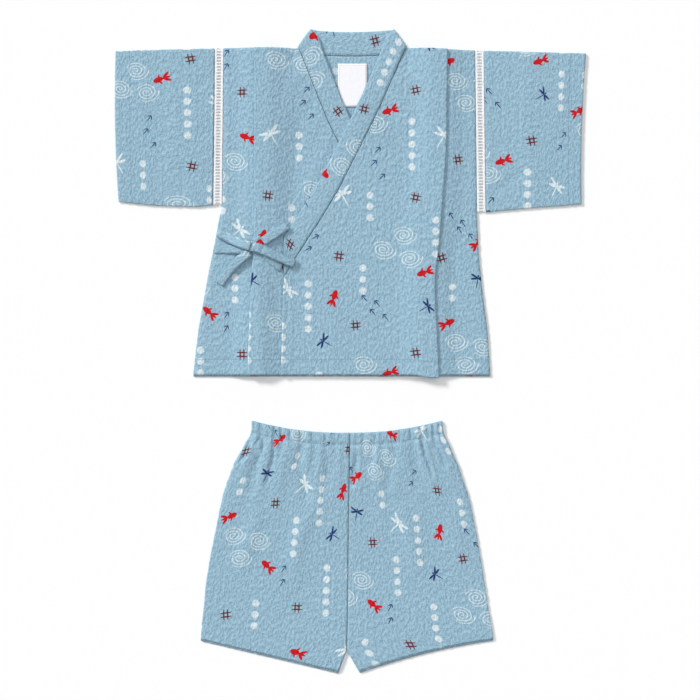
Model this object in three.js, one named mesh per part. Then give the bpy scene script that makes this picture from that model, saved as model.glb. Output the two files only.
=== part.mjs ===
import * as THREE from 'three';

// A small child's jinbei set laid out flat: a wrap jacket with its ties in a bow, and shorts below it.
// Millimetres. +X is to the right of someone looking down on the set, so it is the wearer's left;
// +Y runs towards the collar, and +Z is up from the surface that the set lies on.

// Cloth and clearances
const cloth = 1.1; // wall of one layer of cloth
const gap = 0.3; // clearance between layers
const layer = cloth + gap; // height that one layer of cloth takes up
const bandWall = 1.6; // the collar band is folded double
const labelWall = 0.8;
const laceWall = 1.0;
const seamGap = 0.6; // clearance along a slanted seam, measured across the garment

// Widths that are cut and sewn
const bandWidth = 23;
const tieWidth = 9.5;
const tuckDepth = 12; // from a tuck's outer fold to the fold hidden under it
const laceWidth = 9.2;

// Levels of the jacket
const shoulderY = 330.6;
const hemY = -28.6;
const backHemDrop = 1.6; // the back hem shows just below the front hem
const tuckTop = 5 * layer; // underside of a front at its tuck: three layers of back and two of front below
const tuckFade = 22; // how far beyond a tuck its side part takes to lie down
const moundFade = 34; // how far inside a tuck the middle part takes to lie down
const turn = layer / 2; // radius of a folded edge, at the middle of the cloth

// Middle of the whole set in the coordinates below
const middle = { x: 0.55, y: -2.5 };

// Body, row by row from hem to shoulder: distance of each tuck's fold and each side from the middle line
const body = [
  { y: -28.6, rightSide: 172.2, rightFold: 112.2, leftFold: 97.0, leftSide: 154.0 },
  { y: 22.6, rightSide: 166.1, rightFold: 110.5, leftFold: 95.0, leftSide: 150.7 },
  { y: 54.0, rightSide: 160.6, rightFold: 109.0, leftFold: 93.3, leftSide: 146.6 },
  { y: 80.0, rightSide: 156.0, rightFold: 107.6, leftFold: 93.3, leftSide: 143.8 },
  { y: 101.2, rightSide: 151.6, rightFold: 106.4, leftFold: 95.5, leftSide: 141.6 },
  { y: 127.0, rightSide: 146.6, rightFold: 105.2, leftFold: 98.3, leftSide: 140.3 },
  { y: 145.2, rightSide: 143.2, rightFold: 104.7, leftFold: 99.8, leftSide: 139.4 },
  { y: 157.0, rightSide: 140.4, rightFold: 104.5, leftFold: 100.6, leftSide: 139.2 },
  { y: 172.7, rightSide: 140.3, rightFold: 104.5, leftFold: 102.0, leftSide: 139.1 },
  { y: 210.0, rightSide: 140.0, rightFold: 104.5, leftFold: 104.6, leftSide: 138.7 },
  { y: 246.4, rightSide: 139.6, rightFold: 104.5, leftFold: 105.6, leftSide: 138.3 },
  { y: 269.5, rightSide: 139.4, rightFold: 104.5, leftFold: 105.8, leftSide: 138.0 },
  { y: 299.2, rightSide: 139.1, rightFold: 104.5, leftFold: 106.3, leftSide: 137.7 },
  { y: 318.0, rightSide: 138.9, rightFold: 104.5, leftFold: 106.5, leftSide: 137.5 },
  { y: shoulderY, rightSide: 138.8, rightFold: 104.5, leftFold: 106.7, leftSide: 137.3 },
];

// Inner edges of the fronts: the free edge up to y 80, then the collar seam. Over is the wearer's left front.
const frontEdge = [
  { y: -28.6, over: -75.9, under: 76.6 },
  { y: 54.0, over: -74.0, under: 74.8 },
  { y: 80.0, over: -72.6, under: 73.6 },
  { y: 101.2, over: -59.4, under: 60.4 },
  { y: 145.2, over: -30.8, under: 31.8 },
  { y: 172.7, over: -14.3, under: 15.3 },
  { y: 210.0, over: 4.6, under: -3.6 },
  { y: 246.4, over: 23.1, under: -22.1 },
  { y: 269.5, over: 34.1, under: -31.7 },
  { y: 299.2, over: 47.1, under: -43.4 },
  { y: 318.0, over: 55.0, under: -50.9 },
  { y: 331.1, over: 61.1, under: -56.1 },
];

// Front stretches of the collar band, from the cut end up to the neck: lean is the angle across the band
const bandRows = [
  { y: 82.0, lean: 147.7, width: 1.4 },
  { y: 90.6, lean: 147.7, width: 7.8 },
  { y: 101.2, lean: 147.7, width: 15.6 },
  { y: 111.0, lean: 147.8, width: bandWidth },
  { y: 145.2, lean: 149.0, width: bandWidth },
  { y: 172.7, lean: 151.4, width: bandWidth },
  { y: 210.0, lean: 153.1, width: bandWidth },
  { y: 246.4, lean: 153.6, width: bandWidth },
  { y: 269.5, lean: 155.5, width: bandWidth },
  { y: 299.2, lean: 156.7, width: bandWidth },
  { y: 318.0, lean: 156.3, width: bandWidth },
  { y: 324.5, lean: 141.0, width: 25.5 },
  { y: 331.1, lean: 125.6, width: 23.7 },
];

// Back of the neck, right to left: the seam, and the free top edge of the band that stands above it
const neckRows = [
  { seamX: 61.1, seamY: 331.1, topX: 47.3, topY: 350.4 },
  { seamX: 50.0, seamY: 327.3, topX: 40.5, topY: 350.0 },
  { seamX: 38.0, seamY: 324.2, topX: 33.0, topY: 349.3 },
  { seamX: 24.0, seamY: 322.7, topX: 22.0, topY: 348.7 },
  { seamX: 2.0, seamY: 322.3, topX: 1.0, topY: 348.2 },
  { seamX: -20.0, seamY: 322.7, topX: -17.0, topY: 348.5 },
  { seamX: -34.0, seamY: 324.2, topX: -29.0, topY: 349.2 },
  { seamX: -46.0, seamY: 327.3, topX: -37.0, topY: 350.2 },
  { seamX: -56.1, seamY: 331.1, topX: -42.9, topY: 351.5 },
];

// Sleeves, from cuff to armhole: bow is how far the middle of the row swings out
const sleeveRightRows = [
  { topX: -257.4, topY: 327.8, bottomX: -254.1, bottomY: 161.7, bow: -2.2 },
  { topX: -232.0, topY: 328.5, bottomX: -230.0, bottomY: 159.2, bow: -1.0 },
  { topX: -206.0, topY: 329.3, bottomX: -206.8, bottomY: 157.3, bow: 0 },
  { topX: -175.0, topY: 330.0, bottomX: -172.0, bottomY: 156.3, bow: 0 },
  { topX: -148.6, topY: 330.6, bottomX: -150.9, bottomY: 157.8, bow: 0 },
];
const sleeveLeftRows = [
  { topX: 147.2, topY: 328.0, bottomX: 149.8, bottomY: 150.3, bow: 0 },
  { topX: 178.3, topY: 327.3, bottomX: 178.3, bottomY: 152.8, bow: 0 },
  { topX: 209.3, topY: 326.5, bottomX: 209.3, bottomY: 155.5, bow: 0 },
  { topX: 232.3, topY: 325.9, bottomX: 231.8, bottomY: 157.0, bow: -1.2 },
  { topX: 259.3, topY: 325.1, bottomX: 254.4, bottomY: 159.0, bow: -2.2 },
];

// Shorts, from waist to hem: where each row starts at the middle seam and ends at the side;
// sag is how far its middle hangs down, puff is the height of the gathers
const legRightRows = [
  { inX: -0.3, inY: -92.0, outX: -108.2, outY: -78.8, sag: 4.0, puff: 1.6 },
  { inX: -0.3, inY: -104.5, outX: -108.8, outY: -91.0, sag: 4.0, puff: 2.2 },
  { inX: -0.6, inY: -116.0, outX: -115.5, outY: -103.4, sag: 3.5, puff: 3.0 },
  { inX: -1.0, inY: -138.0, outX: -127.6, outY: -125.4, sag: 2.5, puff: 2.6 },
  { inX: -1.6, inY: -170.0, outX: -139.3, outY: -158.4, sag: 1.5, puff: 1.2 },
  { inX: -2.2, inY: -214.0, outX: -148.8, outY: -203.5, sag: 1.0, puff: 0.3 },
  { inX: -2.6, inY: -262.0, outX: -157.3, outY: -250.0, sag: 0.5, puff: 0 },
  { inX: -3.2, inY: -300.0, outX: -160.6, outY: -280.0, sag: 0, puff: 0 },
  { inX: -3.9, inY: -332.0, outX: -163.0, outY: -303.0, sag: 0, puff: 0 },
  { inX: -12.9, inY: -354.2, outX: -164.3, outY: -318.5, sag: 0, puff: 0 },
];
const legLeftRows = [
  { inX: 0.3, inY: -92.0, outX: 101.6, outY: -78.8, sag: 3.6, puff: 1.6 },
  { inX: 0.3, inY: -104.5, outX: 103.2, outY: -91.9, sag: 3.6, puff: 2.2 },
  { inX: 0.0, inY: -116.0, outX: 109.0, outY: -103.8, sag: 3.0, puff: 3.0 },
  { inX: -0.4, inY: -138.0, outX: 119.5, outY: -129.0, sag: 2.5, puff: 2.6 },
  { inX: -1.0, inY: -170.0, outX: 131.5, outY: -166.0, sag: 1.5, puff: 1.2 },
  { inX: -1.6, inY: -214.0, outX: 139.5, outY: -206.0, sag: 1.0, puff: 0.3 },
  { inX: -2.0, inY: -262.0, outX: 147.0, outY: -252.0, sag: 0, puff: 0 },
  { inX: -2.6, inY: -300.0, outX: 151.8, outY: -284.0, sag: -1.5, puff: 0 },
  { inX: -3.3, inY: -332.0, outX: 155.8, outY: -304.5, sag: -3.0, puff: 0 },
  { inX: 11.0, inY: -353.8, outX: 157.4, outY: -318.2, sag: -3.8, puff: 0 },
];
const gathers = [0, 0.35, 0.1, 0.8, 0.15, 0.6, 0.05, 0.9, 0.2, 1, 0.1, 0.8, 0]; // heights from middle to side
const legBackColumns = 6;
const legHemDrop = 2.4; // the back of a leg shows below the front at the hem

// Ties and bow: lift is the height of a strip's underside over what lies below it
const knot = { x: -102.3, y: 110.8, low: 8.4, high: 14.2, halfLength: 6.0, halfWidth: 5.4 };
const sideTieRows = [
  { x: -149.0, y: 109.5, lift: 0 },
  { x: -133.0, y: 109.6, lift: 0 },
  { x: -118.0, y: 109.4, lift: 0 },
  { x: -109.0, y: 110.0, lift: 0 },
];
const frontTieRows = [
  { x: -74.8, y: 89.6, lift: 0 },
  { x: -77.5, y: 90.4, lift: 0 },
  { x: -83.5, y: 95.6, lift: 0 },
  { x: -90.0, y: 102.0, lift: 0 },
  { x: -95.4, y: 106.5, lift: 0 },
];
const tailLeftRows = [
  { x: -110.4, y: 105.6, lift: 1.5 },
  { x: -117.0, y: 100.8, lift: 2.4 },
  { x: -125.0, y: 94.0, lift: 2.6 },
  { x: -134.5, y: 83.5, lift: 2.0 },
  { x: -143.5, y: 71.3, lift: 0.8 },
];
const tailRightRows = [
  { x: -95.4, y: 117.6, lift: 1.5 },
  { x: -89.0, y: 121.8, lift: 1.9 },
  { x: -80.0, y: 127.6, lift: 1.6 },
  { x: -69.0, y: 135.5, lift: 0.6 },
];
const loopLeftRows = [
  { x: -109.0, y: 112.0, lift: 3.0 },
  { x: -116.0, y: 114.4, lift: 3.0 },
  { x: -124.0, y: 117.4, lift: 2.2 },
  { x: -134.0, y: 122.2, lift: 1.2 },
  { x: -143.5, y: 127.4, lift: 0.6 },
];
const loopRightRows = [
  { x: -95.6, y: 108.6, lift: 3.0 },
  { x: -89.0, y: 105.6, lift: 2.8 },
  { x: -80.0, y: 101.6, lift: 1.8 },
  { x: -71.0, y: 97.8, lift: 1.0 },
  { x: -62.2, y: 94.1, lift: 0.8 },
];
const loopOpening = 0.7; // space between a loop's two layers

const lerp = THREE.MathUtils.lerp;
const up = new THREE.Vector3(0, 0, 1);
const down = new THREE.Vector3(0, 0, -1);

// Smooth rise from 0 to 1
function rise(t) {
  return THREE.MathUtils.smoothstep(t, 0, 1);
}

// Value of a column at height y, straight between the rows of a table that runs upwards
function at(table, y, column) {
  const i = Math.max(1, table.findIndex((row) => row.y >= y));
  const [a, b] = y > table.at(-1).y ? table.slice(-2) : [table[i - 1], table[i]];
  return lerp(a[column], b[column], (y - a.y) / (b.y - a.y));
}

// Heights of the undersides of the panels

// The back's side part, s from the middle line: two layers up at its tuck, then down on the surface
function backSideZ(s, fold) {
  return 2 * layer * (1 - rise((s - fold - 2) / tuckFade));
}

// 1 over a tuck, falling to 0 on the middle part of the front
function mound(s, fold) {
  return 1 - rise((fold - tuckDepth - 1 - s) / moundFade);
}

// Both fronts and the band ride up over the label below the neck
function neckLift(x, y) {
  return (labelWall + gap) * rise((y - 215) / 40) * rise((x + 95) / 30);
}

// The panels come down again to their shoulder seams
function shoulderFade(y) {
  return rise((shoulderY - y) / 40);
}

// 1 where the under front and its band lie below the over front, 0 beyond that band's free edge
function overlap(x, y) {
  const beyondBand = x * 0.881 + (y - 254) * 0.473;
  return 1 - rise((beyondBand - 12) / 30);
}

function underZ(x, y, lift) {
  const base = layer + lift;
  return base + (tuckTop - base) * mound(-x, at(body, y, 'rightFold'));
}

function overZ(x, y, lift) {
  const base = underZ(x, y, lift) + (bandWall + gap) * overlap(x, y);
  return base + (tuckTop - base) * mound(x, at(body, y, 'leftFold'));
}

// Top of the cloth that the bow lies on, a smooth cover over the tuck and the over front's edge
function bowBedZ(x) {
  const tuck = tuckTop + cloth;
  if (x < -108) return lerp(2 * layer - gap, tuck, rise((x + 140) / 32));
  if (x < -76) return lerp(tuck, tuck - 0.7, rise((x + 90) / 14));
  return lerp(tuck - 0.7, 4.5, rise((x + 76) / 24));
}

// A wall of cloth through a grid of middle points, each with the normal of its upper face.
// A ring joins the last column of every row to the first.
function wall(grid, thickness, ring = false) {
  const rows = grid.length;
  const columns = grid[0].length;
  const positions = [];
  for (const side of [0.5, -0.5]) {
    for (const row of grid) {
      for (const { point, normal } of row) {
        positions.push(...point.clone().addScaledVector(normal, side * thickness));
      }
    }
  }
  const upper = (r, c) => r * columns + (c % columns);
  const lower = (r, c) => rows * columns + upper(r, c);
  const index = [];
  const quad = (a, b, c, d) => index.push(a, b, c, a, c, d);
  const spans = ring ? columns : columns - 1;
  for (let r = 0; r < rows - 1; r++) {
    for (let c = 0; c < spans; c++) {
      quad(upper(r, c), upper(r, c + 1), upper(r + 1, c + 1), upper(r + 1, c));
      quad(lower(r, c), lower(r + 1, c), lower(r + 1, c + 1), lower(r, c + 1));
    }
    if (!ring) {
      quad(upper(r, 0), upper(r + 1, 0), lower(r + 1, 0), lower(r, 0));
      quad(upper(r, spans), lower(r, spans), lower(r + 1, spans), upper(r + 1, spans));
    }
  }
  for (let c = 0; c < spans; c++) {
    quad(upper(0, c), lower(0, c), lower(0, c + 1), upper(0, c + 1));
    quad(upper(rows - 1, c), upper(rows - 1, c + 1), lower(rows - 1, c + 1), lower(rows - 1, c));
  }
  return closedGeometry(positions, index);
}

// A geometry whose faces point out, whichever way its grid runs
function closedGeometry(positions, index) {
  const corner = (i) => new THREE.Vector3().fromArray(positions, 3 * i);
  let volume = 0;
  for (let i = 0; i < index.length; i += 3) {
    volume += corner(index[i]).dot(corner(index[i + 1]).cross(corner(index[i + 2])));
  }
  const geometry = new THREE.BufferGeometry();
  geometry.setAttribute('position', new THREE.Float32BufferAttribute(positions, 3));
  geometry.setIndex(volume > 0 ? index : index.toReversed());
  geometry.computeVertexNormals();
  return geometry;
}

const finishes = {
  cloth: new THREE.MeshStandardMaterial({ color: '#9dbfd2', roughness: 0.9, metalness: 0 }),
  lace: new THREE.MeshStandardMaterial({ color: '#f3f5f7', roughness: 0.85, metalness: 0 }),
  label: new THREE.MeshStandardMaterial({ color: '#f5f5f8', roughness: 0.6, metalness: 0 }),
};

function piece(name, geometry, finish = 'cloth') {
  const mesh = new THREE.Mesh(geometry, finishes[finish]);
  mesh.name = name;
  return mesh;
}

// Section across a panel from s = inner, over a tuck, to the side. The tuck's middle part has the
// height zMiddle(s), and its folds step by a layer towards the side part, up or down by step's sign.
function tuckSection(middleColumns, fold, side, zMiddle, zSide, step) {
  const facing = -Math.sign(step);
  const level = zMiddle(fold);
  const hidden = fold - tuckDepth;
  const sideColumns = [hidden + turn, fold + 2, fold + 9, fold + 16, fold + 24, side];
  const lying = (columns, height) => columns.map((s) => ({ s, z: height(s), ns: 0, nz: 1 }));
  return [
    ...lying([...middleColumns, hidden - 1, fold - turn], zMiddle),
    { s: fold, z: level + step / 2, ns: facing, nz: 0 },
    { s: fold - turn, z: level + step, ns: 0, nz: -1 },
    { s: hidden + turn, z: level + step, ns: 0, nz: -1 },
    { s: hidden, z: level + 1.5 * step, ns: facing, nz: 0 },
    ...lying(sideColumns, zSide),
  ];
}

// How far a front's hem corner beside the right tuck hangs below the rest of the hem
function hemDip(x, y) {
  return 3.3 * rise((x - 70) / 18) * (1 - rise((x - 97) / 2)) * (1 - rise((y - hemY) / 60));
}

// The right shoulder slopes down to its sleeve
function shoulderDrop(x, y) {
  return 2.4 * rise((x - 61) / 76) * rise((y - 246) / 84);
}

function gridPoint(x, y, z, nx, nz) {
  return { point: new THREE.Vector3(x, y, z), normal: new THREE.Vector3(nx, 0, nz) };
}

// A front: side is 1 for the wearer's left, which laps over, and -1 for the wearer's right
function front(side) {
  const over = side > 0;
  const columns = over ? { fold: 'leftFold', side: 'leftSide', edge: 'over' }
    : { fold: 'rightFold', side: 'rightSide', edge: 'under' };
  const grid = body.map(({ y, [columns.fold]: fold, [columns.side]: outer }) => {
    const inner = side * at(frontEdge, y, columns.edge) + (y < 80 ? 0 : seamGap);
    const last = fold - tuckDepth - 1;
    const moundStart = Math.max(last - moundFade, lerp(inner, last, 0.45));
    const across = [0, 0.33, 0.66, 1].map((t) => lerp(inner, moundStart, t))
      .concat([0.25, 0.5, 0.75].map((t) => lerp(moundStart, last, t)));
    const zMiddle = (s) => {
      const x = side * s;
      const lift = neckLift(x, y) * shoulderFade(y);
      return cloth / 2 + (over ? overZ(x, y, lift) : underZ(x, y, lift));
    };
    const zSide = (s) => cloth / 2 + layer + backSideZ(s, fold);
    return tuckSection(across, fold, outer, zMiddle, zSide, -layer).map(({ s, z, ns, nz }) => {
      const x = side * s;
      return gridPoint(x, y - hemDip(x, y) - shoulderDrop(x, y), z, side * ns, nz);
    });
  });
  return wall(grid, cloth);
}

// The back lies outside down, so its tucks step up from the middle part to the sides
function back() {
  const neck = neckRows.map(({ seamX, seamY }) => ({ x: seamX, y: seamY - seamGap })).reverse();
  const topY = (x) => {
    const i = neck.findIndex((row) => row.x >= x);
    if (i < 1) return shoulderY;
    const [a, b] = [neck[i - 1], neck[i]];
    return lerp(a.y, b.y, (x - a.x) / (b.x - a.x));
  };
  const centreX = 2;
  const grid = body.map(({ y, rightFold, rightSide, leftFold, leftSide }) => {
    const share = (y - hemY) / (shoulderY - hemY);
    const rowY = (x) => lerp(hemY - backHemDrop, topY(x), share) - shoulderDrop(x, y);
    const half = (side, fold, outer) => {
      const across = neck.map((row) => side * row.x).filter((s) => s > centreX).sort((a, b) => a - b);
      const zSide = (s) => cloth / 2 + backSideZ(s, fold);
      return tuckSection(across, fold, outer, () => cloth / 2, zSide, layer).map(({ s, z, ns, nz }) => {
        return gridPoint(side * s, rowY(side * s), z, side * ns, nz);
      });
    };
    return [
      ...half(-1, rightFold, rightSide).reverse(),
      gridPoint(centreX, rowY(centreX), cloth / 2, 0, 1),
      ...half(1, leftFold, leftSide),
    ];
  });
  return wall(grid, cloth);
}

// Collar: one band from the over front's cut end, up and round the back of the neck, to the under end
function collar() {
  const stretch = (side) => bandRows.map(({ y, lean, width }) => {
    const seam = { x: at(frontEdge, y, side > 0 ? 'over' : 'under'), y };
    const angle = THREE.MathUtils.degToRad(lean);
    return [0, 1 / 3, 2 / 3, 1].map((t) => {
      const x = seam.x + side * Math.cos(angle) * width * t;
      const bandY = seam.y + Math.sin(angle) * width * t;
      const lift = neckLift(x, bandY);
      const z = side > 0 ? overZ(x, bandY, lift) : underZ(x, bandY, lift);
      return { point: new THREE.Vector3(x, bandY, z + bandWall / 2), normal: up };
    });
  });
  const over = stretch(1);
  const under = stretch(-1).reverse();
  const neck = neckRows.map(({ seamX, seamY, topX, topY }) => [0, 1 / 3, 2 / 3, 1].map((t) => ({
    point: new THREE.Vector3(lerp(seamX, topX, t), lerp(seamY, topY, t), bandWall / 2),
    normal: down,
  })));
  // The band turns over an edge at each side of the neck
  const fold = (front, side) => {
    const out = new THREE.Vector3(side * 0.814, 0.582, 0);
    return front.map(({ point }) => {
      const radius = (point.z - bandWall / 2) / 2;
      const edge = point.clone().addScaledVector(out, radius);
      edge.z = bandWall / 2 + radius;
      return { point: edge, normal: out };
    });
  };
  return wall([...over, fold(over.at(-1), 1), ...neck, fold(under[0], -1), ...under], bandWall);
}

// A tube of cloth pressed flat: each row is a ring, folded along the top and seamed along the bottom
function flatTube(rows, thickness) {
  const lowZ = thickness / 2;
  const highZ = lowZ + thickness + gap;
  const radius = (highZ - lowZ) / 2;
  const steps = [0, 0.25, 0.5, 0.75, 1];
  const grid = rows.map(({ topX, topY, bottomX, bottomY, bow }) => {
    const top = new THREE.Vector3(topX, topY, 0);
    const bottom = new THREE.Vector3(bottomX, bottomY, 0);
    const out = bottom.clone().sub(top).normalize();
    top.addScaledVector(out, radius + thickness / 2);
    bottom.addScaledVector(out, -radius - thickness / 2);
    const place = (t, z) => {
      const point = top.clone().lerp(bottom, t);
      return point.add(new THREE.Vector3(4 * t * (1 - t) * bow, 0, z));
    };
    const middleZ = (lowZ + highZ) / 2;
    return [
      ...steps.map((t) => ({ point: place(t, highZ), normal: up })),
      { point: place(1, middleZ).addScaledVector(out, radius), normal: out },
      ...steps.map((t) => ({ point: place(1 - t, lowZ), normal: down })),
      { point: place(0, middleZ).addScaledVector(out, -radius), normal: out.clone().negate() },
    ];
  });
  return wall(grid, thickness, true);
}

// A strip of lace between the armhole and the sleeve, pressed flat with them
function lace(side, armhole) {
  const { topX, topY, bottomX, bottomY } = armhole;
  const edge = (offset) => ({
    topX: topX + side * offset, topY, bottomX: bottomX + side * offset, bottomY, bow: 0,
  });
  return flatTube([edge(0), edge(laceWidth)], laceWall);
}

// A woven label on the inside of the back, its lower corners under the crossing bands
function label() {
  const size = { left: -13.2, right: 18.7, bottom: 266.2, top: 313.5 };
  const geometry = new THREE.BoxGeometry(size.right - size.left, size.top - size.bottom, labelWall);
  geometry.translate((size.left + size.right) / 2, (size.bottom + size.top) / 2, layer + labelWall / 2);
  return geometry;
}

// Middle points of a strip in plan, each with the direction across the strip
function stations(rows) {
  return rows.map((row, i) => {
    const before = rows[Math.max(0, i - 1)];
    const after = rows[Math.min(rows.length - 1, i + 1)];
    const along = new THREE.Vector3(after.x - before.x, after.y - before.y, 0).normalize();
    return { ...row, along, across: new THREE.Vector3(-along.y, along.x, 0) };
  });
}

// One row of a strip, from edge to edge
function stripRow(x, y, z, across, normal) {
  const centre = new THREE.Vector3(x, y, z);
  return [-0.5, 0.5].map((t) => ({ point: centre.clone().addScaledVector(across, t * tieWidth), normal }));
}

function strip(rows, bedZ = bowBedZ) {
  const grid = stations(rows).map(({ x, y, lift, across }) => {
    return stripRow(x, y, bedZ(x) + gap + lift + cloth / 2, across, up);
  });
  return wall(grid, cloth);
}

// A loop goes out from the knot, turns over at its far end and comes back under itself
function loop(rows) {
  const line = stations(rows);
  const radius = (cloth + loopOpening) / 2;
  const lowZ = ({ x, lift }) => bowBedZ(x) + gap + lift + cloth / 2;
  const end = line.at(-1);
  const tip = new THREE.Vector3(end.x, end.y, lowZ(end) + radius).addScaledVector(end.along, radius);
  return wall([
    ...line.map((s) => stripRow(s.x, s.y, lowZ(s) + 2 * radius, s.across, up)),
    stripRow(tip.x, tip.y, tip.z, end.across, end.along),
    ...line.toReversed().map((s) => stripRow(s.x, s.y, lowZ(s), s.across, down)),
  ], cloth);
}

// Top of the under front and a little more, which the front tie lies on below the bow
function frontTieBedZ(x) {
  return underZ(x, knot.y, 0) + layer;
}

// The knot is a small pillow, squarer than an ellipsoid
function knotPillow() {
  const geometry = new THREE.SphereGeometry(1, 16, 10);
  const position = geometry.getAttribute('position');
  const swell = (value) => Math.sign(value) * Math.abs(value) ** 0.65;
  const halfHeight = (knot.high - knot.low) / 2;
  for (let i = 0; i < position.count; i++) {
    position.setXYZ(
      i,
      knot.x + knot.halfLength * swell(position.getX(i)),
      knot.y + knot.halfWidth * swell(position.getY(i)),
      knot.low + halfHeight + halfHeight * swell(position.getZ(i)),
    );
  }
  return geometry;
}

// A leg is cut in one piece: its front, the fold down the side, and its back, open at the middle
function leg(rows) {
  const lowZ = cloth / 2;
  const highZ = lowZ + layer;
  const grid = rows.map((row, i) => {
    const inner = new THREE.Vector3(row.inX, row.inY, 0);
    const outer = new THREE.Vector3(row.outX, row.outY, 0);
    const out = outer.clone().sub(inner).normalize();
    outer.addScaledVector(out, -turn - cloth / 2);
    const drop = i === rows.length - 1 ? legHemDrop : 0;
    const place = (t, z, lower) => {
      const point = inner.clone().lerp(outer, t);
      point.y -= 4 * t * (1 - t) * row.sag + lower;
      point.z = z;
      return point;
    };
    const frontPart = gathers.map((height, k) => ({
      point: place(k / (gathers.length - 1), highZ + row.puff * height, 0),
      normal: up,
    }));
    const backPart = Array.from({ length: legBackColumns + 1 }, (_, k) => ({
      point: place(1 - k / legBackColumns, lowZ, drop),
      normal: down,
    }));
    const side = { point: place(1, lowZ + turn, drop / 2).addScaledVector(out, turn), normal: out };
    return [...frontPart, side, ...backPart];
  });
  return wall(grid, cloth);
}

const armholeRight = { topX: -139.1, topY: 331.0, bottomX: -140.9, bottomY: 157.6 };
const armholeLeft = { topX: 137.6, topY: 328.4, bottomX: 139.7, bottomY: 150.3 };

const jacket = new THREE.Group();
jacket.add(
  piece('back', back()),
  piece('front_right', front(-1)),
  piece('front_left', front(1)),
  piece('collar', collar()),
  piece('sleeve_right', flatTube(sleeveRightRows, cloth)),
  piece('sleeve_left', flatTube(sleeveLeftRows, cloth)),
  piece('lace_right', lace(-1, armholeRight), 'lace'),
  piece('lace_left', lace(1, armholeLeft), 'lace'),
  piece('neck_label', label(), 'label'),
  piece('tie_side', strip(sideTieRows)),
  piece('tie_front', strip(frontTieRows, frontTieBedZ)),
  piece('bow_tail_left', strip(tailLeftRows)),
  piece('bow_tail_right', strip(tailRightRows)),
  piece('bow_loop_left', loop(loopLeftRows)),
  piece('bow_loop_right', loop(loopRightRows)),
  piece('bow_knot', knotPillow()),
);

const shorts = new THREE.Group();
shorts.add(
  piece('leg_right', leg(legRightRows)),
  piece('leg_left', leg(legLeftRows)),
);

const group = new THREE.Group();
group.add(jacket, shorts);
group.position.set(-middle.x, -middle.y, 0);

export default group;
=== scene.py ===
import math
import bpy
import numpy as np
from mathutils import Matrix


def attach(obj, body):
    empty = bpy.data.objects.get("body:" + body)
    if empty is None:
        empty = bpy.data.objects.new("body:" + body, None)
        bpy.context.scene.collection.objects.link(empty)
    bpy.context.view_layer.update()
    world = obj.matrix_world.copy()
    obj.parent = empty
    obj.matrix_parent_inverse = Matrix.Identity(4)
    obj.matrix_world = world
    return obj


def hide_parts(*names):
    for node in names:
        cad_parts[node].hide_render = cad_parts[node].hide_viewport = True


# A small child's jinbei set laid out flat: wrap jacket, bow and shorts in crinkled printed cotton.
# Tables are in millimetres from the middle line of the jacket, and become metres in the meshes.

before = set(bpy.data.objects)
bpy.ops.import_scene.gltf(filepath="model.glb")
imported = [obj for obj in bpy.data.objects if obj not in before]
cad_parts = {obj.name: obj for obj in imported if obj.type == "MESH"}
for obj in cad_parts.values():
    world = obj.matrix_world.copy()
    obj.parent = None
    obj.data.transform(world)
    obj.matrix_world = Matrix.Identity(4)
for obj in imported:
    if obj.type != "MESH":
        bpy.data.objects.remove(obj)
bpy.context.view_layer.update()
print("frame loaded")

mm = 0.001
middle = (0.55, -2.5)  # middle of the whole set in the tables' coordinates
cloth = 1.1
gap = 0.3
layer = cloth + gap
shownWall = 0.75  # the real cloth is thinner than its solid
bandWall = 1.6
labelWall = 0.8
turn = layer / 2
tuckDepth = 12
tuckTop = 5 * layer
tuckFade = 22
moundFade = 34
shoulderY = 330.6
hemY = -28.6
seamGap = 0.6
bandWidth = 23
tieWidth = 9.5
gridStep = 2.1


def table(names, rows):
    values = np.array(rows, float)
    return {name: values[:, i] for i, name in enumerate(names.split())}


body = table("y rightSide rightFold leftFold leftSide", [
    (-28.6, 172.2, 112.2, 97.0, 154.0), (22.6, 166.1, 110.5, 95.0, 150.7), (54.0, 160.6, 109.0, 93.3, 146.6),
    (80.0, 156.0, 107.6, 93.3, 143.8), (101.2, 151.6, 106.4, 95.5, 141.6), (127.0, 146.6, 105.2, 98.3, 140.3),
    (145.2, 143.2, 104.7, 99.8, 139.4), (157.0, 140.4, 104.5, 100.6, 139.2),
    (172.7, 140.3, 104.5, 102.0, 139.1),
    (210.0, 140.0, 104.5, 104.6, 138.7), (246.4, 139.6, 104.5, 105.6, 138.3),
    (269.5, 139.4, 104.5, 105.8, 138.0),
    (299.2, 139.1, 104.5, 106.3, 137.7), (318.0, 138.9, 104.5, 106.5, 137.5),
    (330.6, 138.8, 104.5, 106.7, 137.3)])
frontEdge = table("y over under", [
    (-28.6, -75.9, 76.6), (54.0, -74.0, 74.8), (80.0, -72.6, 73.6), (101.2, -59.4, 60.4),
    (145.2, -30.8, 31.8),
    (172.7, -14.3, 15.3), (210.0, 4.6, -3.6), (246.4, 23.1, -22.1), (269.5, 34.1, -31.7),
    (299.2, 47.1, -43.4),
    (318.0, 55.0, -50.9), (331.1, 61.1, -56.1)])
bandRows = table("y lean width", [
    (82.0, 147.7, 1.4), (90.6, 147.7, 7.8), (101.2, 147.7, 15.6), (111.0, 147.8, 23), (145.2, 149.0, 23),
    (172.7, 151.4, 23), (210.0, 153.1, 23), (246.4, 153.6, 23), (269.5, 155.5, 23), (299.2, 156.7, 23),
    (318.0, 156.3, 23), (324.5, 141.0, 25.5), (331.1, 125.6, 23.7)])
neckRows = table("seamX seamY topX topY", [
    (61.1, 331.1, 47.3, 350.4), (50.0, 327.3, 40.5, 350.0), (38.0, 324.2, 33.0, 349.3),
    (24.0, 322.7, 22.0, 348.7),
    (2.0, 322.3, 1.0, 348.2), (-20.0, 322.7, -17.0, 348.5), (-34.0, 324.2, -29.0, 349.2),
    (-46.0, 327.3, -37.0, 350.2), (-56.1, 331.1, -42.9, 351.5)])
sleeveNames = "topX topY bottomX bottomY bow"
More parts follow.
